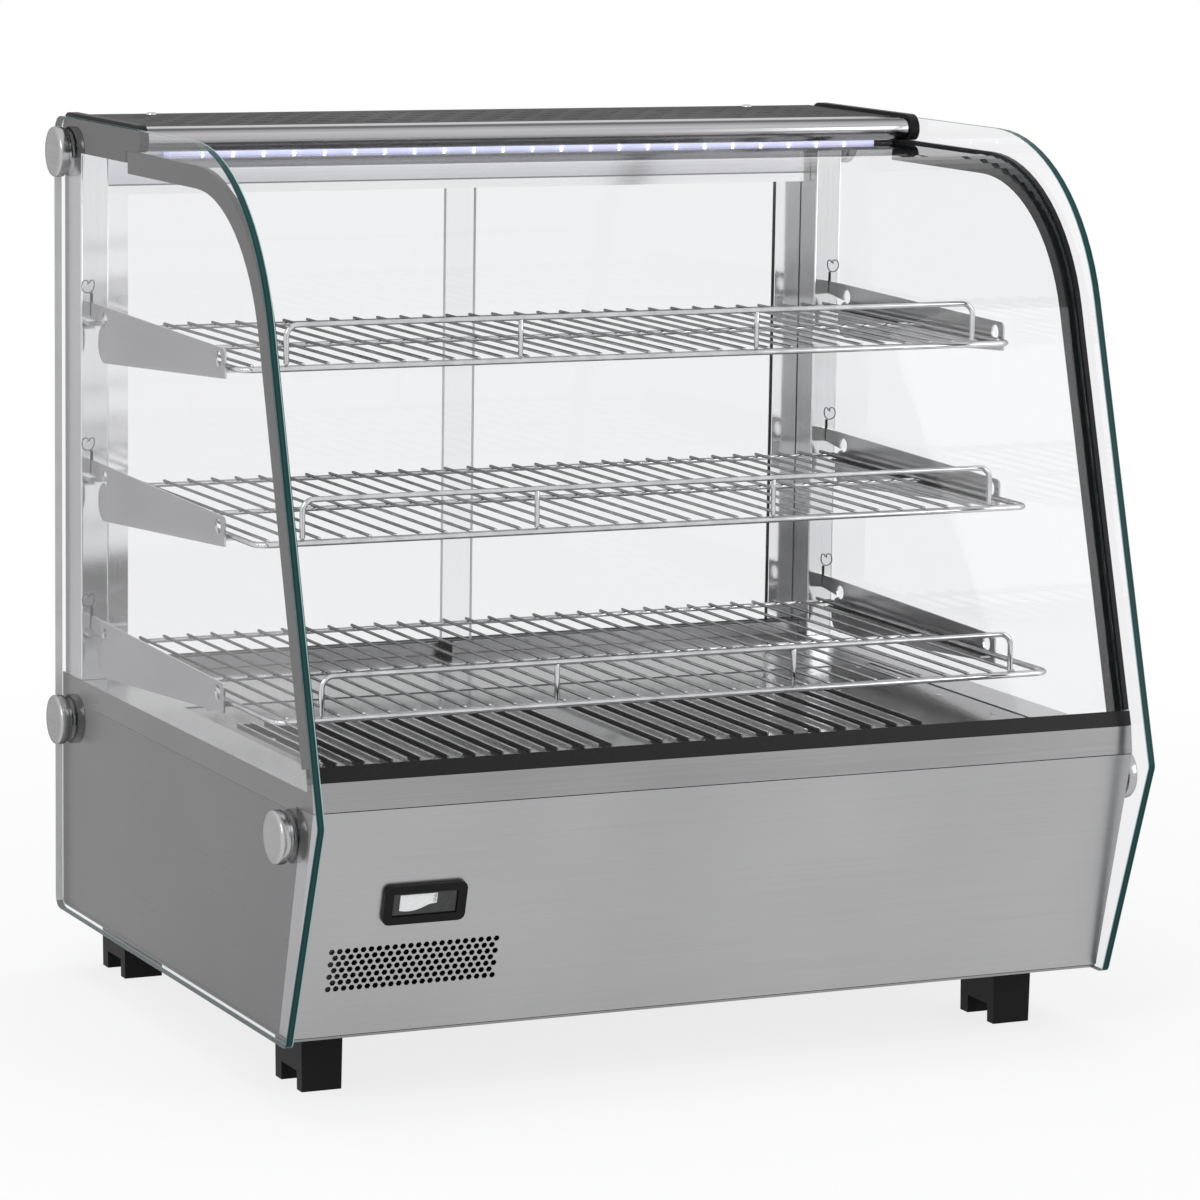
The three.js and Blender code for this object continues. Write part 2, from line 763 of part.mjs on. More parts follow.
// Rear posts: box section with pairs of hook slots for the brackets
const postOuter = rounded([
  [postInX, postFrontY],
  [bodyX, postFrontY],
  [bodyX, rearFrameY, postRadius],
  [postInX, rearFrameY],
]);
const postInner = rounded([
  [postInX + sheet, postFrontY + sheet],
  [linerX, postFrontY + sheet],
  [linerX, rearFrameY - sheet, postRadius - sheet],
  [postInX + sheet, rearFrameY - sheet],
]);
const hookSlots = Object.values(shelfLevels).map((level) => (
  box([bracketX - sheet * half - hookSlotX * half, bracketX - sheet * half + hookSlotX * half],
    [postFrontY - bite, postFrontY + sheet + bite],
    [level + hookLow - gap, level + hookLow + hookHigh + hookDrop + hookLift])));
const post = cut(extrude('xy', postOuter, postFootZ, postTopZ, [postInner]), ...hookSlots);
addPair('post', post, 'brushed');

// Shelf brackets: tapered plate with a rounded heel, inward ledge under the shelf, neck and hook at the back
const plateRearY = postFrontY - gap;
const bracketPlateX = [bracketX - sheet, bracketX];

function oval(hole, level) {
  return ring(hole.w * half, holeSides, hole.y, level + hole.z, hole.h / hole.w);
}

function bracket(level) {
  const low = level + hookLow;
  const heelRadius = (neckFoot - bracketRear[0]) * half - sheet;
  const outline = rounded([
    [heelY, level + bracketRear[0], heelRadius],
    [bracketFrontY, level + bracketFront[0]],
    [bracketFrontY, level + bracketFront[1] - bracketTip],
    [bracketFrontY + bracketTip, level + bracketFront[1]],
    [plateRearY, level + bracketRear[1]],
    [plateRearY, low + hookHigh],
    [plateRearY + hookReach, low + hookHigh],
    [plateRearY + hookReach, low - hookDrop],
    [postFrontY + sheet + gap, low - hookDrop],
    [postFrontY + sheet + gap, low],
    [plateRearY, low],
    [heelY - heelRadius - weld, level + neckFoot],
    [heelY, level + neckFoot, heelRadius],
  ]);
  const holes = [oval(holeFront, level), oval(holeRear, level)];
  const plate = extrude('yz', outline.reverse(), ...bracketPlateX, holes);
  const ledgeTop = level - rimRadius - gap;
  const ledge = box([bracketX - bracketLedge, bracketX - sheet + bite],
    [bracketFrontY + bracketTip, shelfRearY - wireTail], [ledgeTop - sheet, ledgeTop]);
  return fuse(plate, ledge);
}

// Wire shelf: bent rim, cross wires and close front-to-back wires welded on top
function shelf(level, frontY) {
  const rim = wire([
    [-shelfHalf, shelfRearY, level],
    [-shelfHalf, frontY, level],
    [shelfHalf, frontY, level],
    [shelfHalf, shelfRearY, level],
  ], rimRadius, cornerRadius);
  const crossZ = level + rimRadius - crossRadius;
  const firstY = frontY + rimRadius + crossRadius - weld;
  const crossYs = [shelfRearY - crossRadius - weld, (shelfRearY + frontY) * half, firstY];
  const crosses = crossYs.map((y) => rod('x', crossRadius, -shelfHalf, shelfHalf, y, crossZ, tubeSides));
  const wireZ = [level + rimRadius * Math.cos(Math.PI / tubeSides) - weld, 0];
  wireZ[1] = wireZ[0] + wireSide;
  const firstX = -((wireCount - 1) * wirePitch) * half;
  const wires = Array.from({ length: wireCount }, (_, i) => {
    const x = firstX + i * wirePitch;
    return box([x - wireSide * half, x + wireSide * half], [firstY - crossRadius, shelfRearY + wireTail], wireZ);
  });
  return fuse(rim, ...crosses, ...wires);
}

// Front guard rail: bent wire with two inner uprights, welded on the rim
function guard(level, frontY) {
  const footZ = level + rimRadius + gap;
  const topZ = level + guardHigh;
  const rail = wire([
    [-guardHalf, frontY, footZ],
    [-guardHalf, frontY, topZ],
    [guardHalf, frontY, topZ],
    [guardHalf, frontY, footZ],
  ], guardRadius, guardBend, tubeSides);
  const uprights = [-guardInner, guardInner].map((x) => (
    rod('z', guardRadius - weld * half, footZ, topZ, x, frontY)));
  return fuse(rail, ...uprights);
}

Object.entries(shelfLevels).forEach(([name, level]) => {
  add(`shelf_${name}`, shelf(level, shelfFronts[name]), 'wire');
  add(`guard_${name}`, guard(level, shelfFronts[name]), 'wire');
  addPair(`bracket_${name}`, bracket(level), 'brushed');
});

// Glass caps: round heads whose studs go through the side glass
const capProfile = [
  [0, -glassThick],
  [studRadius, -glassThick],
  [studRadius, gap],
  [capNeckRadius, gap],
  [capNeckRadius, capNeck],
  [capRadius, capNeck],
  [capRadius, capThick - capEdge],
  [capRadius - capEdge, capThick],
  [0, capThick],
];
Object.entries(capPlaces).forEach(([name, [y, z]]) => {
  addPair(`cap_${name}`, turned(capProfile, capSides, 'x').translate(glassX, y, z), 'polished');
});

// Roof: perforated top sheet, ceiling and folded walls
const roofSlots = [];
for (let row = 0; row < roofSlotRows; row += 1) {
  const odd = row % 2;
  for (let i = 0; i < roofSlotColumns - odd; i += 1) {
    const x = (i + odd * half - (roofSlotColumns - 1) * half) * roofSlotPitchX;
    roofSlots.push(centred(roofSlotSize, x, roofSlotFrontY + row * roofSlotPitchY));
  }
}
const roofX = bodyX - trimWide - gap;
const noseRadius = (glassTopZ - noseFootZ) * half;
const roofTop = extrude('xy', rectangle([-roofX, roofX], [roofFrontY, rearFrameY]),
  glassTopZ - sheet, glassTopZ, roofSlots);
const ceiling = box([-roofX, roofX], [roofFrontY, rearFrameY], [roofFootZ, roofFootZ + sheet]);
const roofFront = box([-roofX, roofX], [roofFrontY, roofFrontY + sheet], [roofFootZ, glassTopZ - bite]);
const roofRear = box([-roofX, roofX], [rearFrameY - sheet, rearFrameY], [roofFootZ, glassTopZ - bite]);
const roofEnd = box([roofX - sheet, roofX], [roofFrontY, rearFrameY], [roofFootZ, glassTopZ - bite]);
add('roof_panel', fuse(roofTop, ceiling, roofFront, roofRear, roofEnd, mirrorX(roofEnd)), 'brushed');

// Rounded polished nose along the roof's front
add('roof_nose', extrude('yz', rounded([
  [noseFrontY, noseFootZ, noseRadius - weld],
  [roofFrontY - gap, noseFootZ],
  [roofFrontY - gap, glassTopZ],
  [noseFrontY, glassTopZ, noseRadius - weld],
], bendSteps + 1), -roofX, roofX), 'polished');

// Black end trims: the roof's profile, proud of it in front and on top
add('end_trim_right', extrude('yz', rounded([
  [noseFrontY - trimThick, noseFootZ, noseRadius],
  [roofFrontY, noseFootZ],
  [roofFrontY, roofFootZ],
  [trimRearY, roofFootZ],
  [trimRearY, glassTopZ + trimThick, topRearRadius],
  [noseFrontY - trimThick, glassTopZ + trimThick, noseRadius + trimThick],
], bendSteps + 1), bodyX - trimWide, bodyX), 'black');
add('end_trim_left', mirrorX(group.getObjectByName('end_trim_right').geometry), 'black');

// LED strip under the nose, behind the end of the curved glass
add('led_strip', box([-ledHalf, ledHalf], [curveTopEndY + ledSetBack, roofFrontY - gap],
  [noseFootZ - gap - ledHigh, noseFootZ - gap]), 'led');

// Door rail above and track below, each with a groove per door
const grooveHalf = (stileThick + 2 * grooveSlack) * half;
const grooveEdges = doorPlanes.flatMap((y) => [y - grooveHalf, y + grooveHalf]);
const railTop = roofFootZ - gap;
const grooveTop = railFootZ + grooveHigh;
add('door_rail_top', extrude('yz', [
  [trackFrontY, railFootZ],
  [grooveEdges[0], railFootZ],
  [grooveEdges[0], grooveTop],
  [grooveEdges[1], grooveTop],
  [grooveEdges[1], railFootZ],
  [grooveEdges[2], railFootZ],
  [grooveEdges[2], grooveTop],
  [grooveEdges[3], grooveTop],
  [grooveEdges[3], railFootZ],
  [rearFrameY, railFootZ],
  [rearFrameY, railTop],
  [trackFrontY, railTop],
], -trackX, trackX), 'brushed');
const trackTop = postFootZ + trackBase;
add('door_track_bottom', extrude('yz', [
  [grooveEdges[0] - finThick, postFootZ],
  [grooveEdges[3] + finThick, postFootZ],
  [grooveEdges[3] + finThick, trackTop + finHigh],
  [grooveEdges[3], trackTop + finHigh],
  [grooveEdges[3], trackTop],
  [grooveEdges[2], trackTop],
  [grooveEdges[2], trackTop + finHigh],
  [grooveEdges[1], trackTop + finHigh],
  [grooveEdges[1], trackTop],
  [grooveEdges[0], trackTop],
  [grooveEdges[0], trackTop + finHigh],
  [grooveEdges[0] - finThick, trackTop + finHigh],
], -trackX, trackX), 'brushed');

// Sliding doors: glass pane in an upright stile that serves as the grip
function doorPane(plane, edge) {
  const outerX = trackX - gap - stileWide + stileGrip;
  const x = edge > 0 ? [-doorOverlap, outerX] : [-outerX, doorOverlap];
  return box(x, [plane - doorGlass * half, plane + doorGlass * half], [doorFootZ, doorTopZ]);
}
function doorStile(plane) {
  const grooveReach = doorGlass * half + gap;
  const outline = [
    [trackX - gap - stileWide, plane - stileThick * half],
    [trackX - gap, plane - stileThick * half],
    [trackX - gap, plane + stileThick * half],
    [trackX - gap - stileWide, plane + stileThick * half],
    [trackX - gap - stileWide, plane + grooveReach],
    [trackX - stileWide + stileGrip, plane + grooveReach],
    [trackX - stileWide + stileGrip, plane - grooveReach],
    [trackX - gap - stileWide, plane - grooveReach],
  ];
  return extrude('xy', outline, doorFootZ, doorTopZ);
}
add('door_left', doorPane(doorPlanes[0], -1), 'glass');
add('door_right', doorPane(doorPlanes[1], 1), 'glass');
add('door_stile_left', mirrorX(doorStile(doorPlanes[0])), 'brushed');
add('door_stile_right', doorStile(doorPlanes[1]), 'brushed');
const guideFrontY = grooveEdges[0] - finThick - gap - guideSize[1];
add('door_guide', box([-doorOverlap - guideSize[0], -doorOverlap], [guideFrontY, guideFrontY + guideSize[1]],
  [postFootZ, postFootZ + guideSize[2]]), 'black');

// Rear controls: thermostat knob, two rockers in one housing, cable gland
const knobProfile = [
  [0, -shaftDepth],
  [shaftRadius, -shaftDepth],
  [shaftRadius, gap],
  [knobSkirt, gap],
  [knobSkirt, knobSkirtHigh],
  [knobGrip, knobSkirtHigh + sheet],
  [knobGrip - capEdge, knobHigh],
  [0, knobHigh],
];
const knobRidgeBar = box([-knobRidge * half, knobRidge * half], [knobSkirtHigh, knobHigh + sheet],
  [0, knobGrip - capEdge]);
add('thermostat_knob', fuse(turned(knobProfile, capSides, 'y'), knobRidgeBar)
  .translate(knobX, rearPanelY, knobZ), 'black');
const switchXs = [switchX - switchCentre, switchX + switchCentre];
const switchHoles = switchXs.map((x) => centred(switchWindow, x, switchZ));
const switchFace = extrude('xz', centred(switchFlange, switchX, switchZ),
  rearPanelY + gap, rearPanelY + switchProud, switchHoles);
const switchWalls = extrude('xz', centred(switchNeck, switchX, switchZ),
  rearPanelY - switchDepth, rearPanelY + gap + bite, switchHoles);
const switchBack = extrude('xz', centred(switchNeck, switchX, switchZ),
  rearPanelY - switchDepth - sheet, rearPanelY - switchDepth + bite);
add('switch_housing', fuse(switchFace, switchWalls, switchBack), 'black');
const rockerReach = rockerSize[1] * half;
const rockerFloor = rearPanelY + switchProud - rockerHigh;
const rockerFace = rearPanelY + switchProud + rockerDish;
const rockerOutline = [
  [rockerFloor, switchZ - rockerReach * half],
  [rockerFace, switchZ - rockerReach],
  [rockerFace - rockerDish, switchZ],
  [rockerFace, switchZ + rockerReach],
  [rockerFloor, switchZ + rockerReach * half],
].reverse();
const pivotY = rearPanelY - rockerPivot;
['power', 'light'].forEach((name, i) => {
  const rocker = extrude('yz', rockerOutline,
    switchXs[i] - rockerSize[0] * half, switchXs[i] + rockerSize[0] * half);
  rocker.translate(0, -pivotY, -switchZ).rotateX(-rockerTilt).translate(0, pivotY, switchZ);
  add(`rocker_${name}`, rocker, 'black');
});
const glandProfile = [
  [glandBore, -shaftDepth],
  [glandRadius * half, -shaftDepth],
  [glandRadius * half, gap],
  [glandRadius, gap],
  [glandRadius, glandNut],
  [glandRadius - capEdge, glandNut + capEdge],
  [glandRadius - capEdge, glandHigh - capEdge],
  [glandRadius - 2 * capEdge, glandHigh],
  [glandBore, glandHigh],
  [glandBore, -shaftDepth],
];
add('cable_gland', turned(glandProfile, holeSides, 'y').translate(glandX, rearPanelY, glandZ), 'black');

// Circulation fan under the chamber floor
const fanTop = chamberZ - gap;
const fanFoot = fanTop - fanHigh;
const fanFrame = extrude('xy', centred([fanSide, fanSide], fanX, fanY), fanFoot, fanTop,
  [ring(fanBore, capSides, fanX, fanY)]);
const spider = extrude('xy', ring(fanHub, capSides, fanX, fanY), fanFoot, fanFoot + spiderHigh);
const strutX = box([fanX - fanBore - bite, fanX + fanBore + bite],
  [fanY - strutWide * half, fanY + strutWide * half], [fanFoot, fanFoot + spiderHigh - bite]);
const strutY = box([fanX - strutWide * half, fanX + strutWide * half],
  [fanY - fanBore - bite, fanY + fanBore + bite], [fanFoot, fanFoot + spiderHigh - bite]);
add('fan_frame', fuse(fanFrame, spider, strutX, strutY), 'black');
const rotorFoot = fanFoot + spiderHigh + gap;
const rotorTop = fanTop - spiderHigh;
const bladeMiddle = (rotorFoot + rotorTop) * half;
const blades = Array.from({ length: fanBladeCount }, (_, i) => (
  box([fanHub * half, fanBladeTip], [-fanBladeThick * half, fanBladeThick * half],
    [-fanBladeDeep * half, fanBladeDeep * half])
    .rotateX(fanBladeTilt)
    .rotateZ((i / fanBladeCount) * 2 * Math.PI)
    .translate(fanX, fanY, bladeMiddle)));
const hub = extrude('xy', ring(fanHub, capSides, fanX, fanY), rotorFoot, rotorTop);
add('fan_rotor', fuse(hub, ...blades), 'black');

// Tubular heater standing on the chamber floor, its runs over the fan
const heaterFoot = chamberZ + sheet + gap;
const heaterCorners = [[heaterRuns[0], heaterY[0], heaterFoot], [heaterRuns[0], heaterY[0], heaterZ]];
heaterRuns.forEach((x, i) => {
  const ends = i % 2 ? [...heaterY].reverse() : heaterY;
  if (i > 0) heaterCorners.push([x, ends[0], heaterZ]);
  heaterCorners.push([x, ends[1], heaterZ]);
});
const lastRun = heaterRuns[heaterRuns.length - 1];
const lastY = heaterRuns.length % 2 ? heaterY[1] : heaterY[0];
heaterCorners.push([lastRun, lastY, heaterFoot]);
add('heater_element', wire(heaterCorners, heaterRadius, heaterBend, tubeSides, 3), 'heater');

export default group;
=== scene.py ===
import math

import bpy
import numpy as np
from mathutils import Matrix, Vector


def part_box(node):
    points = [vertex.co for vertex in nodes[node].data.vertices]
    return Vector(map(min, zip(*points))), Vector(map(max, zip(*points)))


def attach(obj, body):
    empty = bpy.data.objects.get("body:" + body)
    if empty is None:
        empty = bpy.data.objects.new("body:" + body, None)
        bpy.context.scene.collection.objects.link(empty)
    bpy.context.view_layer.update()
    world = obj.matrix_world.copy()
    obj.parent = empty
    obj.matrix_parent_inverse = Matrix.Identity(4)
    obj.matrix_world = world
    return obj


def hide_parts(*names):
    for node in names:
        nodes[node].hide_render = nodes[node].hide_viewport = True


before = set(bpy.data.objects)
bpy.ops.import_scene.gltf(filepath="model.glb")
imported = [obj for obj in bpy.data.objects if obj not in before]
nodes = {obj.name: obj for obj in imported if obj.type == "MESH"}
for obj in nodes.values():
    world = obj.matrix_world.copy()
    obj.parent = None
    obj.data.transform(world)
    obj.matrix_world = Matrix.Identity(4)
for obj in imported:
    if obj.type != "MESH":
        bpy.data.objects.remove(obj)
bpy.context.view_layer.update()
print("frame loaded:", len(nodes), "nodes")

# Camera at the photograph's viewing angle, place in metres and angles in radians
camera = {
    "place": (-1.6227, -3.5189, 0.9368),
    "yaw": 0.4338,      # from +Y towards +X
    "pitch": 0.1572,    # downwards
    "roll": 0.0151,
    "lens": 152.3,      # millimetres, as the sensor is
    "sensor": 36.0,
    "clipEnd": 50.0,
}


def addCamera(given):
    turn = math.sin(given["yaw"]), math.cos(given["yaw"])
    tilt = math.sin(given["pitch"]), math.cos(given["pitch"])
    forward = Vector((turn[0] * tilt[1], turn[1] * tilt[1], -tilt[0]))
    level = Vector((turn[1], -turn[0], 0.0))
    upright = level.cross(forward)
    spin = math.cos(given["roll"]), math.sin(given["roll"])
    right = level * spin[0] + upright * spin[1]
    up = upright * spin[0] - level * spin[1]
    data = bpy.data.cameras.new("camera")
    data.lens = given["lens"]
    data.sensor_width = given["sensor"]
    data.clip_end = given["clipEnd"]
    item = bpy.data.objects.new("camera", data)
    item.matrix_world = Matrix((
        (right.x, up.x, -forward.x, given["place"][0]),
        (right.y, up.y, -forward.y, given["place"][1]),
        (right.z, up.z, -forward.z, given["place"][2]),
        (0, 0, 0, 1)))
    bpy.context.collection.objects.link(item)
    bpy.context.scene.camera = item


addCamera(camera)
bpy.context.scene.view_settings.view_transform = "Standard"
print("camera set")


# Node helpers
toneStops = {"broad": (0.3, 0.7), "close": (0.35, 0.65)}     # shares of a noise where its dark and light tones begin
faceFrom = 0.6     # a face is turned to an axis when its normal reaches this share along it
xAxis, yAxis, zAxis = 0, 1, 2


def newMaterial(name):
    made = bpy.data.materials.new(name)
    made.use_nodes = True
    tree = made.node_tree
    tree.nodes.clear()
    return made, tree


def addNode(tree, kind, **values):
    made = tree.nodes.new(kind)
    for key, value in values.items():
        if key.startswith("in_"):
            made.inputs[key[3:].replace("_", " ")].default_value = value
        else:
            setattr(made, key, value)
    return made


def join(tree, *ends):
    for source, target in zip(ends[::2], ends[1::2]):
        tree.links.new(source, target)


def finishTree(tree, shader):
    out = addNode(tree, "ShaderNodeOutputMaterial")
    join(tree, shader, out.inputs["Surface"])


def objectPoint(tree, scale=(1, 1, 1)):
    coordinate = addNode(tree, "ShaderNodeTexCoord")
    mapping = addNode(tree, "ShaderNodeMapping", in_Scale=scale)
    join(tree, coordinate.outputs["Object"], mapping.inputs["Vector"])
    return mapping.outputs["Vector"]


# One part of the object's own point or normal
def objectPart(tree, output, axis):
    coordinate = addNode(tree, "ShaderNodeTexCoord")
    parts = addNode(tree, "ShaderNodeSeparateXYZ")
    join(tree, coordinate.outputs[output], parts.inputs[0])
    return parts.outputs[axis]


def calculate(tree, operation, source, value=0.0):
    made = addNode(tree, "ShaderNodeMath", operation=operation)
    made.inputs[1].default_value = value
    join(tree, source, made.inputs[0])
    return made.outputs[0]


def noise(tree, scale, detail=2.0, stretch=(1, 1, 1)):
    made = addNode(tree, "ShaderNodeTexNoise", in_Scale=scale, in_Detail=detail)
    join(tree, objectPoint(tree, stretch), made.inputs["Vector"])
    return made.outputs["Fac"]


def ramp(tree, source, stops):
    made = addNode(tree, "ShaderNodeValToRGB")
    made.color_ramp.elements[0].position = stops[0][0]
    made.color_ramp.elements[0].color = (*stops[0][1], 1)
    made.color_ramp.elements[1].position = stops[-1][0]
    made.color_ramp.elements[1].color = (*stops[-1][1], 1)
    for at, colour in stops[1:-1]:
        made.color_ramp.elements.new(at).color = (*colour, 1)
    join(tree, source, made.inputs["Fac"])
    return made.outputs["Color"]


def twoTone(tree, source, dark, light, stops="broad"):
    low, high = toneStops[stops]
    return ramp(tree, source, [(low, dark), (high, light)])


def spread(tree, source, low, high, fromLow=0.0, fromHigh=1.0):
    made = addNode(tree, "ShaderNodeMapRange")
    for key, value in (("From Min", fromLow), ("From Max", fromHigh), ("To Min", low), ("To Max", high)):
        made.inputs[key].default_value = value
    join(tree, source, made.inputs["Value"])
    return made.outputs["Result"]


def mixColours(tree, share, first, second, kind="MIX"):
    made = addNode(tree, "ShaderNodeMix", data_type="RGBA", blend_type=kind)
    if isinstance(share, float):
        made.inputs[0].default_value = share
    else:
        join(tree, share, made.inputs[0])
    join(tree, first, made.inputs[6], second, made.inputs[7])
    return made.outputs[2]


def mixValues(tree, share, first, second):
    made = addNode(tree, "ShaderNodeMix", data_type="FLOAT")
    if isinstance(share, float):
        made.inputs[0].default_value = share
    else:
        join(tree, share, made.inputs[0])
    join(tree, first, made.inputs[2], second, made.inputs[3])
    return made.outputs[0]


def addRelief(tree, bsdf, height, strength, distance):
    relief = addNode(tree, "ShaderNodeBump", in_Strength=strength, in_Distance=distance)
    join(tree, height, relief.inputs["Height"], relief.outputs["Normal"], bsdf.inputs["Normal"])


# Steel sheet: fine noise drawn out along the brushing, over slow cloudy variation
brushing = {
    "fine": 700.0,
    "long": 6.0,
    "detail": 2.0,
    "cloud": 5.0,
    "cloudShare": 0.72,
    "rough": (0.24, 0.36),
    "bump": 0.01,
    "depth": 0.0004,
    "edge": 0.8,      # tint where the view grazes the metal
    "wear": ((0.88, 0.88, 0.88), (1, 1, 1)),
}
wireGrain = {"scale": 60.0, "detail": 3.0}
mouldDepth = 0.0003


def brushStrokes(tree, along):
    fine = [brushing["fine"]] * 3
    fine[along] = brushing["long"]
    streak = noise(tree, 1.0, brushing["detail"], fine)
    return streak, mixValues(tree, brushing["cloudShare"], streak, noise(tree, brushing["cloud"]))


def metalShader(tree, edge):
    return addNode(tree, "ShaderNodeBsdfPrincipled", in_Metallic=1.0, in_Specular_Tint=(edge, edge, edge, 1))


def brushedSteel(name, along, dark, light, rough=brushing["rough"], bump=brushing["bump"], edge=brushing["edge"]):
    made, tree = newMaterial(name)
    streak, blend = brushStrokes(tree, along)
    bsdf = metalShader(tree, edge)
    join(tree, twoTone(tree, blend, dark, light), bsdf.inputs["Base Color"],
         spread(tree, streak, *rough), bsdf.inputs["Roughness"])
    addRelief(tree, bsdf, streak, bump, brushing["depth"])
    finishTree(tree, bsdf.outputs["BSDF"])
    return made


# Folded sheet whose faces take tones by the way they face, each given by its axis, its way (0 is both) and its look;
# on the posts, deck and brackets these tones are painted light and shade on one steel
def facedSteel(name, along, faces, others, edge=brushing["edge"]):
    made, tree = newMaterial(name)
    streak, blend = brushStrokes(tree, along)
    bsdf = metalShader(tree, edge)
    tint = twoTone(tree, blend, others["dark"], others["light"])
    rough = spread(tree, streak, *others["rough"])
    for axis, way, look in faces:
        part = objectPart(tree, "Normal", axis)
        part = calculate(tree, "MULTIPLY", part, way) if way else calculate(tree, "ABSOLUTE", part)
        test = calculate(tree, "GREATER_THAN", part, faceFrom)
        tint = mixColours(tree, test, tint, twoTone(tree, blend, look["dark"], look["light"]))
        rough = mixValues(tree, test, rough, spread(tree, streak, *look["rough"]))
    join(tree, tint, bsdf.inputs["Base Color"], rough, bsdf.inputs["Roughness"])
    addRelief(tree, bsdf, streak, brushing["bump"], brushing["depth"])
    finishTree(tree, bsdf.outputs["BSDF"])
    return made


# Rolled sheet whose tone changes in bands along one axis, between the two places of its span; the bands are painted
# light and shade
def bandedSteel(name, along, axis, bands, rough):
    made, tree = newMaterial(name)
    streak, blend = brushStrokes(tree, along)
    at = spread(tree, objectPart(tree, "Object", axis), 0.0, 1.0, *bands["span"])
    wear = twoTone(tree, blend, *brushing["wear"])
    bsdf = metalShader(tree, brushing["edge"])
    join(tree, mixColours(tree, 1.0, ramp(tree, at, bands["stops"]), wear, "MULTIPLY"), bsdf.inputs["Base Color"],
         spread(tree, streak, *rough), bsdf.inputs["Roughness"])
    finishTree(tree, bsdf.outputs["BSDF"])
    return made


def brightWire(name, dark, light, rough, edge):
    made, tree = newMaterial(name)
    mottle = noise(tree, wireGrain["scale"], wireGrain["detail"])
    bsdf = metalShader(tree, edge)
    join(tree, twoTone(tree, mottle, dark, light), bsdf.inputs["Base Color"],
         spread(tree, mottle, *rough), bsdf.inputs["Roughness"])
    finishTree(tree, bsdf.outputs["BSDF"])
    return made


# Moulded plastic and rubber: fine grain in colour, gloss and relief
def moulded(name, dark, light, rough=(0.4, 0.55), grain=1500.0, bump=0.08, gloss=0.12):
    made, tree = newMaterial(name)
    speck = noise(tree, grain)
    bsdf = addNode(tree, "ShaderNodeBsdfPrincipled", in_Specular_IOR_Level=gloss)
    join(tree, twoTone(tree, speck, dark, light, "close"), bsdf.inputs["Base Color"],
         spread(tree, speck, *rough), bsdf.inputs["Roughness"])
    addRelief(tree, bsdf, speck, bump, mouldDepth)
    finishTree(tree, bsdf.outputs["BSDF"])
    return made


glassLook = {
    "faceGrain": 3.0,
    "faceRough": (0.01, 0.04),
    "edgeGrain": 25.0,
    "edgeRough": 0.2,
    "edgeGloss": 0.06,
}


# Sheet glass: broad faces pass light straight on under a Fresnel gloss, cut edges show the glass's own body
def sheetGlass(name, clear, gloss, axis, bent, colourEdge):
    made, tree = newMaterial(name)
    through = addNode(tree, "ShaderNodeBsdfTransparent", in_Color=(*clear, 1))
    shine = addNode(tree, "ShaderNodeBsdfAnisotropic")
    join(tree, spread(tree, noise(tree, glassLook["faceGrain"]), *glassLook["faceRough"]), shine.inputs["Roughness"])
    fresnel = addNode(tree, "ShaderNodeFresnel", in_IOR=gloss)
    surface = addNode(tree, "ShaderNodeNewGeometry")
    outer = calculate(tree, "LESS_THAN", surface.outputs["Backfacing"], 0.5)
    amount = addNode(tree, "ShaderNodeMath", operation="MULTIPLY")
    face = addNode(tree, "ShaderNodeMixShader")
    join(tree, fresnel.outputs[0], amount.inputs[0], outer, amount.inputs[1], amount.outputs[0], face.inputs[0],
         through.outputs[0], face.inputs[1], shine.outputs[0], face.inputs[2])
    edge = addNode(tree, "ShaderNodeBsdfPrincipled", in_Roughness=glassLook["edgeRough"],
                   in_Specular_IOR_Level=glassLook["edgeGloss"])
    join(tree, colourEdge(tree), edge.inputs["Base Color"])
    size = calculate(tree, "ABSOLUTE", objectPart(tree, "Normal", axis))
    test = calculate(tree, "GREATER_THAN" if bent else "LESS_THAN", size, faceFrom)
    whole = addNode(tree, "ShaderNodeMixShader")
    join(tree, test, whole.inputs[0], face.outputs[0], whole.inputs[1], edge.outputs[0], whole.inputs[2])
    finishTree(tree, whole.outputs[0])
    return made


sideEdge = {
    "inner": 0.333,
    "outer": 0.339,
    "rearFrom": 0.2825,
    # across the thickness: painted highlights of the arrises near both faces, dark green glass between
    "across": [(0.0, (0.42, 0.52, 0.52)), (0.1, (0.3, 0.42, 0.42)), (0.17, (0.012, 0.04, 0.042)),
               (0.55, (0.02, 0.07, 0.068)), (0.85, (0.01, 0.03, 0.034)), (1.0, (0.12, 0.2, 0.2))],
    "rear": ((0.5, 0.51, 0.5), (0.6, 0.6, 0.59)),
}


# Side sheet's cut edge: dark green with light arrises at the front, which are painted highlights, pale at the back
# where it meets the post
def sideEdgeColour(tree):
    look = sideEdge
    across = spread(tree, calculate(tree, "ABSOLUTE", objectPart(tree, "Object", xAxis)), 0.0, 1.0,
                    look["inner"], look["outer"])
    front = ramp(tree, across, look["across"])
    rear = twoTone(tree, noise(tree, glassLook["edgeGrain"]), *look["rear"])
    atRear = calculate(tree, "GREATER_THAN", objectPart(tree, "Object", yAxis), look["rearFrom"])
    return mixColours(tree, atRear, front, rear)


def plainEdge(dark, light):
    return lambda tree: twoTone(tree, noise(tree, glassLook["edgeGrain"]), dark, light, "close")


glow = {"grain": 90.0, "lift": 1.08, "rough": 0.3}


def glowing(name, colour, strength):
    made, tree = newMaterial(name)
    bsdf = addNode(tree, "ShaderNodeBsdfPrincipled", in_Roughness=glow["rough"])
    light = tuple(min(1.0, part * glow["lift"]) for part in colour)
    tint = twoTone(tree, noise(tree, glow["grain"]), colour, light)
    join(tree, tint, bsdf.inputs["Base Color"], tint, bsdf.inputs["Emission Color"])
    bsdf.inputs["Emission Strength"].default_value = strength
    finishTree(tree, bsdf.outputs["BSDF"])
    return made
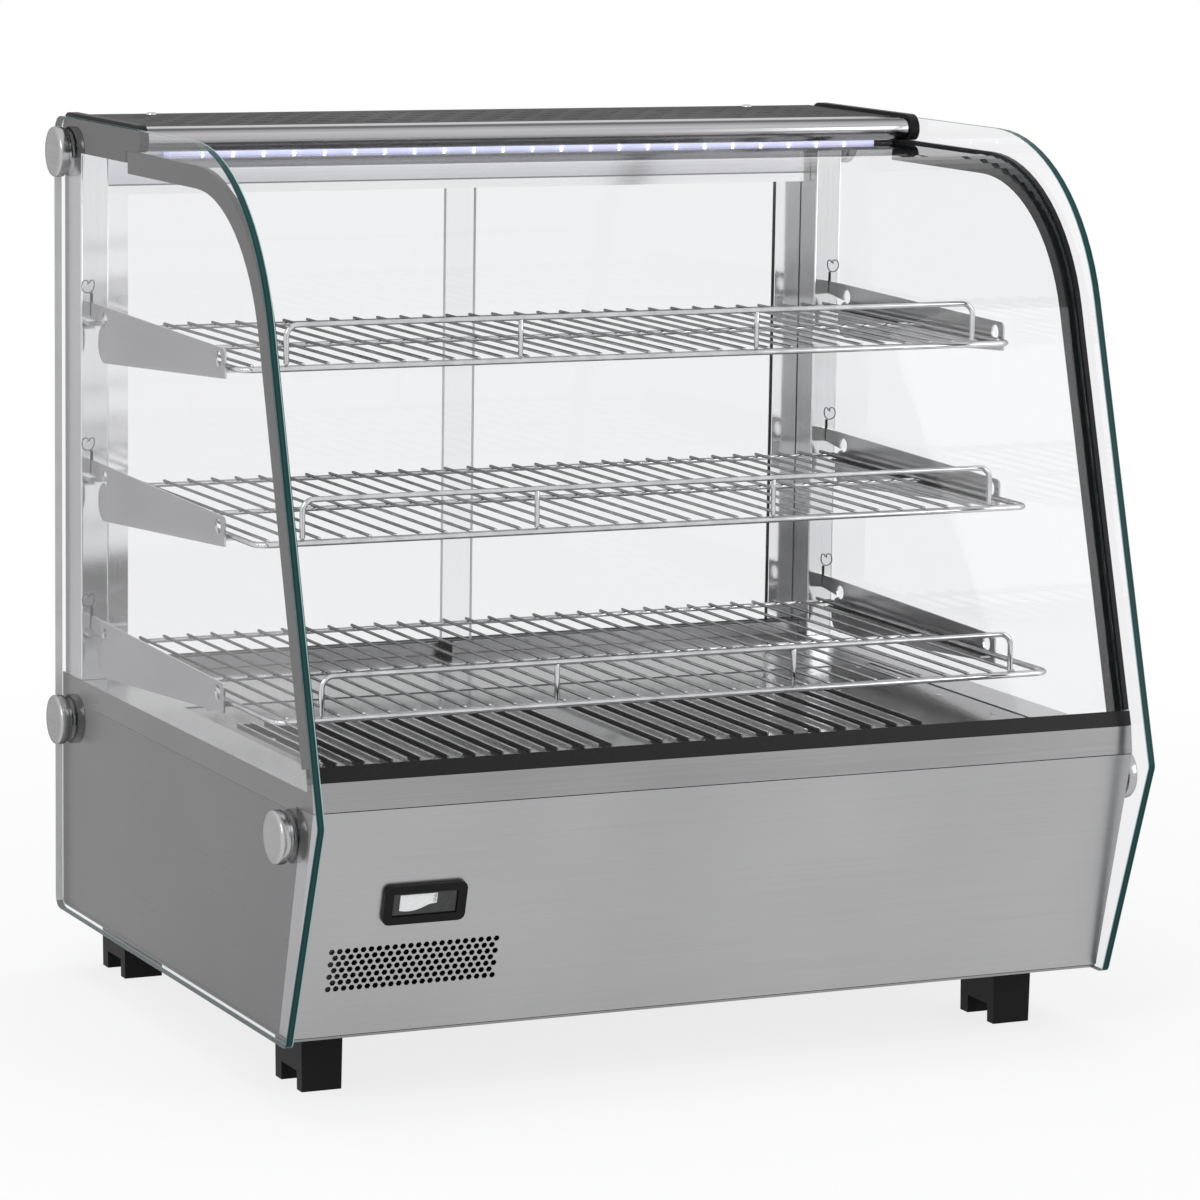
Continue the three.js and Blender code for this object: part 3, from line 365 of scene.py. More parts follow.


# Finishes of the faced sheets, whose tones on the posts, deck and brackets are painted light and shade: darker and
# lighter tone, and the range of the roughness
# post front lighter than its sides: painted light and shade on one folded steel
postLitFace = {"dark": (0.72, 0.73, 0.74), "light": (0.86, 0.87, 0.88), "rough": (0.08, 0.13)}
postShadedSides = {"dark": (0.46, 0.46, 0.465), "light": (0.58, 0.58, 0.585), "rough": (0.16, 0.26)}
# deck top lighter than its fascia and ends: painted light on one folded steel
deckLitTop = {"dark": (0.5, 0.5, 0.5), "light": (0.58, 0.58, 0.58), "rough": (0.16, 0.26)}
roofTop = {"dark": (0.13, 0.13, 0.135), "light": (0.21, 0.21, 0.215), "rough": (0.42, 0.55)}
roofUnder = {"dark": (0.5, 0.5, 0.51), "light": (0.6, 0.6, 0.61), "rough": (0.12, 0.2)}
# bracket faces turned to -x darker than the rest: painted shade and light on one steel
bracketShadedFaces = {"dark": (0.3, 0.3, 0.305), "light": (0.38, 0.38, 0.385), "rough": (0.16, 0.26)}
bracketLitFaces = {"dark": (0.5, 0.5, 0.505), "light": (0.6, 0.6, 0.605), "rough": (0.12, 0.2)}
# deck fascia and ends darker than its top: painted shade
deckShadedFront = {"dark": (0.27, 0.27, 0.275), "light": (0.33, 0.33, 0.335), "rough": (0.16, 0.24)}
deckShadedSides = {"dark": (0.1, 0.1, 0.103), "light": (0.15, 0.15, 0.153), "rough": (0.24, 0.34)}
# Tones that change with height, painted light and shade: the span in metres and the tones across it
# bands across the bullnose's curve: painted highlight and shade
noseSheenBands = {
    "span": (0.6652, 0.683),
    "stops": [(0.0, (0.3, 0.3, 0.31)), (0.3, (0.27, 0.27, 0.28)), (0.34, (0.16, 0.16, 0.17)),
              (0.38, (0.05, 0.05, 0.05)), (0.42, (0.34, 0.34, 0.35)), (0.55, (0.44, 0.44, 0.45)),
              (0.75, (0.52, 0.52, 0.53)), (0.87, (0.36, 0.36, 0.37)), (0.93, (0.14, 0.14, 0.15)),
              (1.0, (0.1, 0.1, 0.11))],
}
# rail's face painted near white and lavender for the strip's light falling on it, with a thin dark band
railLedGlowBands = {
    "span": (0.622, 0.6557),
    "stops": [(0.0, (0.98, 0.98, 0.99)), (0.2, (0.96, 0.96, 0.98)), (0.215, (0.16, 0.16, 0.17)),
              (0.235, (0.16, 0.16, 0.17)), (0.25, (0.66, 0.66, 0.7)), (0.6, (0.72, 0.72, 0.76)),
              (1.0, (0.82, 0.82, 0.86))],
}
# slot floors darker for painted shade in the slots, rib tops lighter for painted highlights on their lips
plateSlotShade = {
    "span": (0.2378, 0.2415),     # slot floors and ribs
    "stops": [(0.0, (0.3, 0.3, 0.3)), (0.42, (0.32, 0.32, 0.32)), (0.5, (0.66, 0.66, 0.66)), (1.0, (0.8, 0.8, 0.8))],
}

materials = {
    "steelFront": brushedSteel("steelFront", xAxis, (0.38, 0.38, 0.385), (0.45, 0.45, 0.455)),
    # side panels: very dark steel that paints the shade the side lies in
    "shadedSideSteel": brushedSteel("shadedSideSteel", yAxis, (0.085, 0.085, 0.088), (0.12, 0.12, 0.123), bump=0.005),
    "steelPan": brushedSteel("steelPan", xAxis, (0.24, 0.24, 0.24), (0.31, 0.31, 0.31)),
    "steelPost": facedSteel("steelPost", zAxis, [(yAxis, -1, postLitFace)], postShadedSides),
    "steelStile": brushedSteel("steelStile", zAxis, (0.9, 0.9, 0.91), (0.98, 0.98, 0.99), (0.08, 0.13), edge=1.0),
    "steelDeck": facedSteel("steelDeck", xAxis, [(zAxis, 1, deckLitTop), (xAxis, 0, deckShadedSides)], deckShadedFront),
    "deckPlate": bandedSteel("deckPlate", yAxis, zAxis, plateSlotShade, (0.08, 0.16)),
    "steelInner": brushedSteel("steelInner", xAxis, (0.3, 0.3, 0.3), (0.38, 0.38, 0.38)),
    "steelRear": brushedSteel("steelRear", xAxis, (0.34, 0.34, 0.345), (0.42, 0.42, 0.425)),
    "rail": bandedSteel("rail", xAxis, zAxis, railLedGlowBands, (0.1, 0.18)),
    "track": brushedSteel("track", xAxis, (0.42, 0.42, 0.43), (0.52, 0.52, 0.53)),
    "steelRoof": facedSteel("steelRoof", xAxis, [(zAxis, 1, roofTop)], roofUnder, edge=0.25),
    "bracket": facedSteel("bracket", yAxis, [(xAxis, -1, bracketShadedFaces)], bracketLitFaces),
    "nose": bandedSteel("nose", xAxis, zAxis, noseSheenBands, (0.1, 0.18)),
    "wire": brightWire("wire", (0.56, 0.56, 0.57), (0.74, 0.74, 0.75), (0.06, 0.14), 0.25),
    "thinWire": brightWire("thinWire", (0.36, 0.36, 0.365), (0.56, 0.56, 0.565), (0.1, 0.2), 0.25),
    "cap": brushedSteel("cap", yAxis, (0.42, 0.42, 0.42), (0.52, 0.52, 0.52), (0.16, 0.26), edge=0.5),
    "bead": brightWire("bead", (0.8, 0.8, 0.82), (0.9, 0.9, 0.92), (0.08, 0.16), 1.0),
    "fastener": brightWire("fastener", (0.55, 0.55, 0.56), (0.7, 0.7, 0.71), (0.12, 0.24), 0.6),
    # dark curled marks above the hook slots
    "clip": brightWire("clip", (0.06, 0.06, 0.065), (0.12, 0.12, 0.125), (0.3, 0.4), 0.6),
    "sideGlass": sheetGlass("sideGlass", (0.972, 0.972, 0.978), 1.5, xAxis, False, sideEdgeColour),
    "frontGlass": sheetGlass("frontGlass", (0.968, 0.97, 0.972), 1.38, xAxis, True,
                             plainEdge((0.015, 0.02, 0.02), (0.03, 0.04, 0.04))),
    "doorGlass": sheetGlass("doorGlass", (0.968, 0.97, 0.972), 1.38, yAxis, False,
                            plainEdge((0.8, 0.83, 0.83), (0.88, 0.9, 0.9))),
    "seal": moulded("seal", (0.006, 0.006, 0.007), (0.014, 0.014, 0.015), (0.3, 0.42), gloss=0.16),
    "trim": moulded("trim", (0.006, 0.006, 0.007), (0.014, 0.014, 0.015)),
    "rocker": moulded("rocker", (0.32, 0.012, 0.01), (0.42, 0.02, 0.016), (0.12, 0.2), 300.0, 0.0, 0.5),
    "control": moulded("control", (0.012, 0.012, 0.013), (0.022, 0.022, 0.024), (0.26, 0.36), gloss=0.45),
    "pointer": moulded("pointer", (0.72, 0.72, 0.71), (0.82, 0.82, 0.81), (0.35, 0.45), gloss=0.3),
    "foot": moulded("foot", (0.006, 0.006, 0.007), (0.014, 0.014, 0.015), (0.45, 0.6)),
    "bezel": moulded("bezel", (0.005, 0.005, 0.005), (0.01, 0.01, 0.01), (0.2, 0.3), gloss=0.12),
    "window": moulded("window", (0.02, 0.021, 0.021), (0.03, 0.031, 0.031), (0.06, 0.1), 300.0, 0.0, 0.5),
    "gaugeCard": moulded("gaugeCard", (0.8, 0.81, 0.8), (0.88, 0.88, 0.87), (0.3, 0.4), 500.0, 0.02, 0.4),
    "gaugeMark": moulded("gaugeMark", (0.02, 0.02, 0.02), (0.04, 0.04, 0.04)),
    "heater": brushedSteel("heater", yAxis, (0.2, 0.16, 0.13), (0.32, 0.27, 0.23)),
    "lightStrip": glowing("lightStrip", (0.66, 0.68, 0.92), 0.75),
    "lightPoint": glowing("lightPoint", (0.9, 0.92, 1.0), 12.0),
}
wearers = {     # which of the frame's nodes wear each material
    "steelFront": ["front_panel"],
    "shadedSideSteel": ["side_panel_left", "side_panel_right"],
    "steelPan": ["base_pan"],
    "steelPost": ["post_left", "post_right"],
    "steelStile": ["door_stile_left", "door_stile_right"],
    "steelDeck": ["deck_frame"],
    "deckPlate": ["deck_plate"],
    "steelInner": ["chamber_floor"],
    "steelRear": ["rear_panel"],
    "rail": ["door_rail_top"],
    "track": ["door_track_bottom"],
    "steelRoof": ["roof_panel"],
    "bracket": [f"bracket_{level}_{side}" for level in ("top", "middle", "bottom") for side in ("left", "right")],
    "nose": ["roof_nose"],
    "sideGlass": ["side_glass_left", "side_glass_right"],
    "frontGlass": ["curved_glass"],
    "doorGlass": ["door_left", "door_right"],
    "seal": ["side_seal_left", "side_seal_right", "glass_gasket"],
    "trim": ["end_trim_left", "end_trim_right", "door_guide"],
    "control": ["thermostat_knob", "switch_housing", "rocker_light", "cable_gland", "fan_frame", "fan_rotor"],
    "rocker": ["rocker_power"],
    "bezel": ["display_bezel"],
    "foot": ["foot_front_left", "foot_front_right", "foot_rear_left", "foot_rear_right"],
    "window": ["display_window"],
    "heater": ["heater_element"],
    "lightStrip": ["led_strip"],
}
for look, names in wearers.items():
    for name in names:
        nodes[name].data.materials.clear()
        nodes[name].data.materials.append(materials[look])
print("materials on the frame")


# Mesh helpers
def addMesh(name, points, faces, looks, body, replaced=(), smooth=True, marks=None):
    data = bpy.data.meshes.new(name)
    data.from_pydata(np.asarray(points).tolist(), [], faces)
    data.update()
    data.polygons.foreach_set("use_smooth", np.full(len(data.polygons), smooth))
    for look in looks:
        data.materials.append(materials[look])
    if marks is not None:
        data.polygons.foreach_set("material_index", np.asarray(marks, dtype=np.int32))
    item = bpy.data.objects.new(name, data)
    bpy.context.collection.objects.link(item)
    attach(item, body)
    if replaced:
        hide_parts(*replaced)
    return item


# Quads of a grid of rows by columns, closed round the columns, with end caps
def gridFaces(rows, columns, first=0):
    r, c = np.meshgrid(np.arange(rows - 1), np.arange(columns), indexing="ij")
    following = (c + 1) % columns
    quads = np.stack([r * columns + c, r * columns + following,
                      (r + 1) * columns + following, (r + 1) * columns + c], axis=-1).reshape(-1, 4) + first
    faces = [tuple(q) for q in quads.tolist()]
    faces.append(tuple((first + np.arange(columns)[::-1]).tolist()))
    faces.append(tuple((first + (rows - 1) * columns + np.arange(columns)).tolist()))
    return faces


# Corner points of a wire, with every inner corner turned on an arc of the bend radius
def bentLine(corners, bend, steps=8):
    corners = np.asarray(corners, dtype=float)
    out = [corners[0]]
    for before, here, after in zip(corners[:-2], corners[1:-1], corners[2:]):
        back = (before - here) / np.linalg.norm(before - here)
        ahead = (after - here) / np.linalg.norm(after - here)
        opening = math.acos(float(np.clip(back @ ahead, -1, 1)))
        middle = (back + ahead) / np.linalg.norm(back + ahead)
        centre = here + middle * bend / math.sin(opening / 2)
        start = here + back * bend / math.tan(opening / 2) - centre
        end = here + ahead * bend / math.tan(opening / 2) - centre
        turn = math.pi - opening
        t = np.linspace(0, 1, steps + 1)[:, None]
        out.extend(centre + (np.sin((1 - t) * turn) * start + np.sin(t * turn) * end) / math.sin(turn))
    out.append(corners[-1])
    return np.array(out)


# Smooth line through the points: each span is a cubic whose ends follow the neighbours
def smoothLine(corners, steps=6):
    p = np.asarray(corners, dtype=float)
    p = np.concatenate([2 * p[:1] - p[1:2], p, 2 * p[-1:] - p[-2:-1]])
    t = np.linspace(0, 1, steps, endpoint=False)[None, :, None]
    a, b, c, d = (p[i:len(p) - 3 + i, None, :] for i in range(4))
    line = 0.5 * (2 * b + (c - a) * t + (2 * a - 5 * b + 4 * c - d) * t ** 2 + (3 * b - a - 3 * c + d) * t ** 3)
    return np.concatenate([line.reshape(-1, p.shape[1]), p[-2:-1]])


roundWire = {
    "tips": ((0.0, 0.35), (0.35, 0.8), (1.0, 1.0)),     # shares of the radius, along the end and across it
    "steep": 0.9,      # a wire that climbs more than this is laid out from the Y axis
}


# Round wire: a ring of points at each place on the line, square to it, with short rounded ends
def wireMesh(line, radius, sides, first):
    line = np.asarray(line, dtype=float)
    unit = np.diff(line, axis=0)
    unit /= np.linalg.norm(unit, axis=1)[:, None]
    heading = np.concatenate([unit[:1], unit[:-1] + unit[1:], unit[-1:]])
    heading /= np.linalg.norm(heading, axis=1)[:, None]
    side = np.cross(heading[0], (0.0, 0.0, 1.0) if abs(heading[0][2]) < roundWire["steep"] else (0.0, 1.0, 0.0))
    sideways = []
    for aim in heading:
        side = side - aim * (side @ aim)
        side = side / np.linalg.norm(side)
        sideways.append(side)
    sideways = np.array(sideways)
    upwards = np.cross(heading, sideways)
    angle = np.linspace(0, 2 * math.pi, sides, endpoint=False)
    last = len(line) - 1
    tips = roundWire["tips"]
    rows = [(line[0] + heading[0] * radius * along, 0, across) for along, across in tips]
    rows += [(line[i], i, 1.0) for i in range(1, last)]
    rows += [(line[-1] - heading[-1] * radius * along, last, across) for along, across in reversed(tips)]
    centre = np.array([row[0] for row in rows])
    at = np.array([row[1] for row in rows])
    size = np.array([row[2] for row in rows]) * radius
    aside = np.cos(angle)[None, :, None] * sideways[at][:, None, :]
    above = np.sin(angle)[None, :, None] * upwards[at][:, None, :]
    points = centre[:, None, :] + size[:, None, None] * (aside + above)
    return points.reshape(-1, 3), gridFaces(len(rows), sides, first)


oneLook, tipLook = (0,), (0, 1)     # places in the piece's list of materials


# Several wires as one mesh: line, radius, sides, and the materials of the first tip and of the rest
def wireBundle(wires):
    points, faces, marks = [], [], []
    count = 0
    for line, radius, sides, looks in wires:
        p, f = wireMesh(line, radius, sides, count)
        near = len(roundWire["tips"]) * sides
        marks.extend([looks[0]] * near + [looks[-1]] * (len(f) - near - 2) + [looks[0], looks[-1]])
        points.append(p)
        faces.extend(f)
        count += len(p)
    return np.concatenate(points), faces, marks


def addWires(name, wires, looks, body, replaced=()):
    points, faces, marks = wireBundle(wires)
    return addMesh(name, points, faces, looks, body, replaced, marks=marks)


# Turned piece: profile of radius and height, spun about an axis through a centre
def turnedMesh(profile, centre, axis, sides):
    profile = np.asarray(profile, dtype=float)
    angle = np.linspace(0, 2 * math.pi, sides, endpoint=False)
    axis = np.asarray(axis, dtype=float)
    first = np.cross(axis, (0.0, 0.0, 1.0))
    first /= np.linalg.norm(first)
    second = np.cross(axis, first)
    outward = np.cos(angle)[None, :, None] * first + np.sin(angle)[None, :, None] * second
    points = np.asarray(centre) + profile[:, 1][:, None, None] * axis + profile[:, 0][:, None, None] * outward
    return points.reshape(-1, 3), gridFaces(len(profile), sides)


# Edges that bend more than the given angle stay sharp
def smoothByAngle(item, degrees):
    data = item.data
    normals = np.empty(len(data.polygons) * 3)
    data.polygons.foreach_get("normal", normals)
    normals = normals.reshape(-1, 3)
    pairs = {}
    for polygon in data.polygons:
        for key in polygon.edge_keys:
            pairs.setdefault(key, []).append(polygon.index)
    sharp = np.zeros(len(data.edges), dtype=bool)
    for edge in data.edges:
        both = pairs[tuple(sorted(edge.vertices))]
        if len(both) == 2:
            bend = float(np.clip(normals[both[0]] @ normals[both[1]], -1, 1))
            sharp[edge.index] = math.acos(bend) > math.radians(degrees)
    attribute = data.attributes.get("sharp_edge") or data.attributes.new("sharp_edge", "BOOLEAN", "EDGE")
    attribute.data.foreach_set("value", sharp)


# Wire shelves and their guard rails
shelfWire = {
    "rimRadius": 0.0022,
    "rimSides": 16,
    "crossRadius": 0.0019,
    "crossSides": 12,
    "thinRadius": 0.0012,
    "thinSides": 10,
    "corner": 0.011,
    "pitch": 0.020,
    "count": 32,
    "tail": 0.004,
    "weld": 0.0004,
    "tip": 0.0026,      # bright cut end of each thin wire
}
guardWire = {
    "radius": 0.0021,
    "sides": 16,
    "upright": 0.0019,
    "uprightSides": 12,
    "bend": 0.009,
    "inner": (-0.098, 0.098),
}


def addShelf(level):
    low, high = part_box(f"shelf_{level}")
    w = shelfWire
    half = high[0] - w["rimRadius"]
    front = low[1] + w["rimRadius"]
    z = low[2] + w["rimRadius"]
    rear = high[1] - w["tail"]
    wires = [(bentLine([(-half, rear, z), (-half, front, z), (half, front, z), (half, rear, z)], w["corner"]),
              w["rimRadius"], w["rimSides"], oneLook)]
    crossZ = z + w["rimRadius"] - w["crossRadius"]
    first = front + w["rimRadius"] + w["crossRadius"] - w["weld"]
    for y in (rear - w["crossRadius"] - w["weld"], (rear + front) / 2, first):
        wires.append(([(-half, y, crossZ), (half, y, crossZ)], w["crossRadius"], w["crossSides"], oneLook))
    topZ = high[2] - w["thinRadius"]
    start = first - w["crossRadius"]
    for at in (np.arange(w["count"]) - (w["count"] - 1) / 2) * w["pitch"]:
        wires.append(([(at, start, topZ), (at, start + w["tip"], topZ), (at, high[1], topZ)],
                      w["thinRadius"], w["thinSides"], tipLook))
    addWires(f"shelfWires_{level}", wires, ["wire", "thinWire"], f"shelf_{level}_body", (f"shelf_{level}",))


def addGuard(level):
    low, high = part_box(f"guard_{level}")
    g = guardWire
    y = (low[1] + high[1]) / 2
    left, right = low[0] + g["radius"], high[0] - g["radius"]
    top = high[2] - g["radius"]
    wires = [(bentLine([(left, y, low[2]), (left, y, top), (right, y, top), (right, y, low[2])], g["bend"]),
              g["radius"], g["sides"], oneLook)]
    for at in g["inner"]:
        wires.append(([(at, y, low[2]), (at, y, top)], g["upright"], g["uprightSides"], oneLook))
    addWires(f"guardWires_{level}", wires, ["wire"], f"shelf_{level}_body", (f"guard_{level}",))


for level in ("top", "middle", "bottom"):
    addShelf(level)
    addGuard(level)
print("shelves made")

# Round glass caps with their studs, as profiles of radius and height from the glass
capShape = {
    "profile": [(0.0001, -0.0159), (0.0045, -0.0159), (0.0045, 0.0003), (0.0172, 0.0003), (0.0174, 0.0024),
                (0.0188, 0.0026), (0.0194, 0.0030), (0.0196, 0.0036), (0.0196, 0.0086), (0.0194, 0.0094),
                (0.0189, 0.0100), (0.0180, 0.0103), (0.0150, 0.0102), (0.0100, 0.0101), (0.0001, 0.0101)],
    "sides": 64,
    "face": 0.339,      # outer face of the side glass
    "sharp": 40,        # degrees
}


def addCap(place, side):
    low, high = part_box(f"cap_{place}_{side}")
    sign = 1 if side == "right" else -1
    centre = (sign * capShape["face"], (low[1] + high[1]) / 2, (low[2] + high[2]) / 2)
    points, faces = turnedMesh(capShape["profile"], centre, (sign, 0, 0), capShape["sides"])
    item = addMesh(f"capHead_{place}_{side}", points, faces, ["cap"], "case", (f"cap_{place}_{side}",))
    smoothByAngle(item, capShape["sharp"])


for place in ("rear_top", "rear_low", "front"):
    for side in ("left", "right"):
        addCap(place, side)
print("caps made")

# Light points on the front of the strip
lightPoint = {
    "count": 23,
    "pitch": 0.025,
    "radius": 0.0014,
    "sides": 12,
    "proud": 0.0007,
    "sunk": 0.004,
    "height": 0.42,     # share of the strip's height
}


def addLightPoints():
    low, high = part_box("led_strip")
    z = low[2] + (high[2] - low[2]) * lightPoint["height"]
    wires = []
    for at in (np.arange(lightPoint["count"]) - (lightPoint["count"] - 1) / 2) * lightPoint["pitch"]:
        wires.append(([(at, low[1] + lightPoint["sunk"], z), (at, low[1] - lightPoint["proud"], z)],
                      lightPoint["radius"], lightPoint["sides"], oneLook))
    addWires("lightPoints", wires, ["lightPoint"], "case")


addLightPoints()
print("light points made")

# Rolled corners of the rear posts
postBead = {"radius": 0.0009, "sides": 14, "sunk": 0.00072, "ends": 0.001}


def addPostBeads(side):
    low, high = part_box(f"post_{side}")
    y = low[1] + postBead["sunk"]
    wires = []
    for x in (low[0] + postBead["sunk"], high[0] - postBead["sunk"]):
        wires.append(([(x, y, low[2] + postBead["ends"]), (x, y, high[2] - postBead["ends"])],
                      postBead["radius"], postBead["sides"], oneLook))
    addWires(f"postCorners_{side}", wires, ["bead"], "case")


# Dark curled marks above the hook slots, each drawn as a thin bent wire flat on the post
hookCurl = {
    "line": [(1.8, 7.2), (0.6, 9.6), (-1.4, 9.4), (-2.2, 6.6), (-1.6, 3.0), (0.6, 0.6), (3.4, 0.0), (6.4, 1.2),
             (8.0, 4.4), (7.2, 8.4), (4.6, 9.8), (2.8, 8.6), (3.2, 6.4)],     # millimetres from the slot's top
    "radius": 0.00035,
    "sides": 8,
    "lift": 0.9,              # middle of the wire from the post, in radii
    "slotInset": 0.00075,     # slot's middle from the bracket's outer face
    "slotTop": 0.0075,        # above the bracket
}


def addHookCurls(side):
    sign = 1 if side == "right" else -1
    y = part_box(f"post_{side}")[0][1] - hookCurl["radius"] * hookCurl["lift"]
    flat = smoothLine(hookCurl["line"]) / 1000     # to metres
    wires = []
    for level in ("top", "middle", "bottom"):
        low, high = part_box(f"bracket_{level}_{side}")
        slotX = max(abs(low[0]), abs(high[0])) - hookCurl["slotInset"]
        line = np.stack([sign * (slotX + flat[:, 0]), np.full(len(flat), y),
                         high[2] + hookCurl["slotTop"] + flat[:, 1]], axis=1)
        wires.append((line, hookCurl["radius"], hookCurl["sides"], oneLook))
    addWires(f"hookCurls_{side}", wires, ["clip"], "case")


for side in ("left", "right"):
    addPostBeads(side)
    addHookCurls(side)
print("post details made")

# Pan-head screws on the roof and rivets along the deck plate's ends
roofScrew = {"radius": 0.0042, "high": 0.0017, "slot": 0.0005, "reach": 0.0023, "deep": 0.0009,
             "places": [(-0.262, 0.274), (0.262, 0.274)]}
deckRivet = {"radius": 0.0026, "high": 0.0009, "x": 0.281, "rows": (0.088, -0.047, -0.137), "lift": 0.0015}
dome = {"rings": 14, "sides": 48, "innermost": 0.02, "foot": 0.0004, "sharp": 35}


# Low dome: height falls with the fourth power of the radius under a root, less a cross-shaped recess
def domeMesh(centre, look, first):
    r = np.linspace(dome["innermost"], 1, dome["rings"])[:, None] * look["radius"]
    angle = np.linspace(0, 2 * math.pi, dome["sides"], endpoint=False)[None, :]
    x, y = r * np.cos(angle), r * np.sin(angle)
    z = look["high"] * np.sqrt(np.clip(1 - (r / look["radius"]) ** 4, 0, 1)) + 0 * angle
    if "slot" in look:
        within = ((np.abs(x) < look["slot"]) | (np.abs(y) < look["slot"])) & (r < look["reach"])
        z = np.where(within, z - look["deep"], z)
    points = np.stack([x + centre[0], y + centre[1], z + centre[2]], axis=-1)
    foot = points[-1:].copy()
    foot[..., 2] = centre[2] - dome["foot"]
    faces = [face[::-1] for face in gridFaces(dome["rings"] + 1, dome["sides"], first)]
    return np.concatenate([points, foot]).reshape(-1, 3), faces


def addHeads(name, places, look, body):
    points, faces = [], []
    for place in places:
        p, f = domeMesh(place, look, sum(len(q) for q in points))
        points.append(p)
        faces.extend(f)
    item = addMesh(name, np.concatenate(points), faces, ["fastener"], body)
    smoothByAngle(item, dome["sharp"])


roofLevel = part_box("roof_panel")[1][2]
addHeads("roofScrews", [(x, y, roofLevel) for x, y in roofScrew["places"]], roofScrew, "case")
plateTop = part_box("deck_plate")[0][2] + deckRivet["lift"]
addHeads("deckRivets", [(sign * deckRivet["x"], y, plateTop) for sign in (-1, 1) for y in deckRivet["rows"]],
         deckRivet, "deck_plate_body")
print("fasteners made")

# Thermostat knob on the rear: shaft, skirt, fluted grip and a pale pointer
knob = {
    "profile": [(0.0001, 0.0), (0.0030, 0.0), (0.0030, 0.0123), (0.0188, 0.0123), (0.0190, 0.0127), (0.0190, 0.0145),
                (0.0184, 0.0152), (0.0142, 0.0157), (0.0135, 0.0163), (0.0132, 0.0247), (0.0128, 0.0254),
                (0.0120, 0.0258), (0.0001, 0.0258)],     # radius and height from the shaft's inner end
    "gripFrom": 0.0160,      # height where the flutes start
    "gripTo": 0.0256,
    "flutes": 18,
    "fluteSides": 8,
    "fluteDepth": 0.0007,
    "pointer": (0.0035, 0.0115),
    "pointerHalf": 0.0009,
    "pointerProud": 0.0012,
    "sharp": 35,
}


# Turned profile whose grip has its radius lowered by a raised cosine of the angle, once for each flute
def addKnob():
    low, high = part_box("thermostat_knob")
    centre = ((low[0] + high[0]) / 2, low[1], (low[2] + high[2]) / 2)
    sides = knob["flutes"] * knob["fluteSides"]
    points, faces = turnedMesh(knob["profile"], centre, (0, 1, 0), sides)
    grid = points.reshape(len(knob["profile"]), sides, 3) - centre
    angle = np.linspace(0, 2 * math.pi, sides, endpoint=False)
    height = np.array(knob["profile"])[:, 1]
    grip = (height > knob["gripFrom"]) & (height < knob["gripTo"])
    radius = np.hypot(grid[..., 0], grid[..., 2])
    cut = grip[:, None] * knob["fluteDepth"] * (0.5 + 0.5 * np.cos(knob["flutes"] * angle))[None, :]
    grid[..., ::2] *= (1 - cut / radius)[..., None]
    item = addMesh("knobGrip", (grid + centre).reshape(-1, 3), faces, ["control"], "thermostat_body",
                   ("thermostat_knob",))
    smoothByAngle(item, knob["sharp"])
    near, far = knob["pointer"]
    half = knob["pointerHalf"]
    face = centre[1] + height[-1]
    corner = np.array([(-half, near), (half, near), (half, far), (-half, far)])
    layers = [np.stack([centre[0] + corner[:, 0], np.full(4, y), centre[2] + corner[:, 1]], axis=1)
              for y in (face + knob["pointerProud"], face - knob["pointerProud"])]
    addMesh("knobPointer", np.concatenate(layers), gridFaces(2, 4), ["pointer"], "thermostat_body",
            smooth=False)


addKnob()
print("knob made")

# Gauge in the display window: a pale card with a waved lower edge and plain marks
gauge = {
    "foot": (-0.216, 0.0535),     # y and z of the front panel's foot
    "top": (-0.2602, 0.2259),
    "middle": (-0.24, 0.1025),    # along x and up the panel
    "out": 0.00192,
    "thick": 0.0002,
    "left": -0.0193,
    "right": 0.0094,
    "high": 0.0074,
    "lows": (-0.0048, -0.0056, -0.0052, -0.0036, -0.0012, -0.0004),
    "marks": 6,
    "markReach": (0.0022, 0.0032),     # short and long marks, from the card's right edge
    "markInset": 0.0004,
    "markTop": 0.001,
    "markPitch": 0.0011,
    "markHalf": 0.00018,
    "markThick": 0.00008,
}


# Slab on the raked panel: its outline is given along x and up the panel, from the gauge's middle
def slabMesh(outline, out, thick, first=0):
    outline = np.asarray(outline, dtype=float)
    foot, top = np.array(gauge["foot"]), np.array(gauge["top"])
    rise = (top - foot) / np.linalg.norm(top - foot)
    up = gauge["middle"][1] + outline[:, 1]
    layers = []
    for proud in (out, out + thick):
        layers.append(np.stack([gauge["middle"][0] + outline[:, 0], foot[0] + up * rise[0] - proud * rise[1],
                                foot[1] + up * rise[1] + proud * rise[0]], axis=1))
    return np.concatenate(layers), gridFaces(2, len(outline), first)


def addGauge():
    g = gauge
    x = np.linspace(g["left"], g["right"], len(g["lows"]))
    edge = smoothLine(np.stack([x, g["lows"]], axis=1))
    points, faces = slabMesh(np.concatenate([edge, [(g["right"], g["high"]), (g["left"], g["high"])]]),
                             g["out"], g["thick"])
    addMesh("gaugeCard", points, faces, ["gaugeCard"], "case", smooth=False)
    points, faces = [], []
    for i in range(g["marks"]):
        start = g["right"] - g["markReach"][i % 2]
        end = g["right"] - g["markInset"]
        up = g["high"] - g["markTop"] - i * g["markPitch"]
        under, over = up - g["markHalf"], up + g["markHalf"]
        p, f = slabMesh([(start, under), (end, under), (end, over), (start, over)],
                        g["out"] + g["thick"], g["markThick"], sum(len(q) for q in points))
        points.append(p)
        faces.extend(f)
    addMesh("gaugeMarks", np.concatenate(points), faces, ["gaugeMark"], "case", smooth=False)


addGauge()
print("gauge made")


# Floor, world and lamps
def seenRays(tree):
    path = addNode(tree, "ShaderNodeLightPath")
    first = addNode(tree, "ShaderNodeMath", operation="MAXIMUM")
    both = addNode(tree, "ShaderNodeMath", operation="MAXIMUM")
    join(tree, path.outputs["Is Camera Ray"], first.inputs[0], path.outputs["Is Glossy Ray"], first.inputs[1],
         first.outputs[0], both.inputs[0], path.outputs["Is Transmission Ray"], both.inputs[1])
    return both.outputs[0]


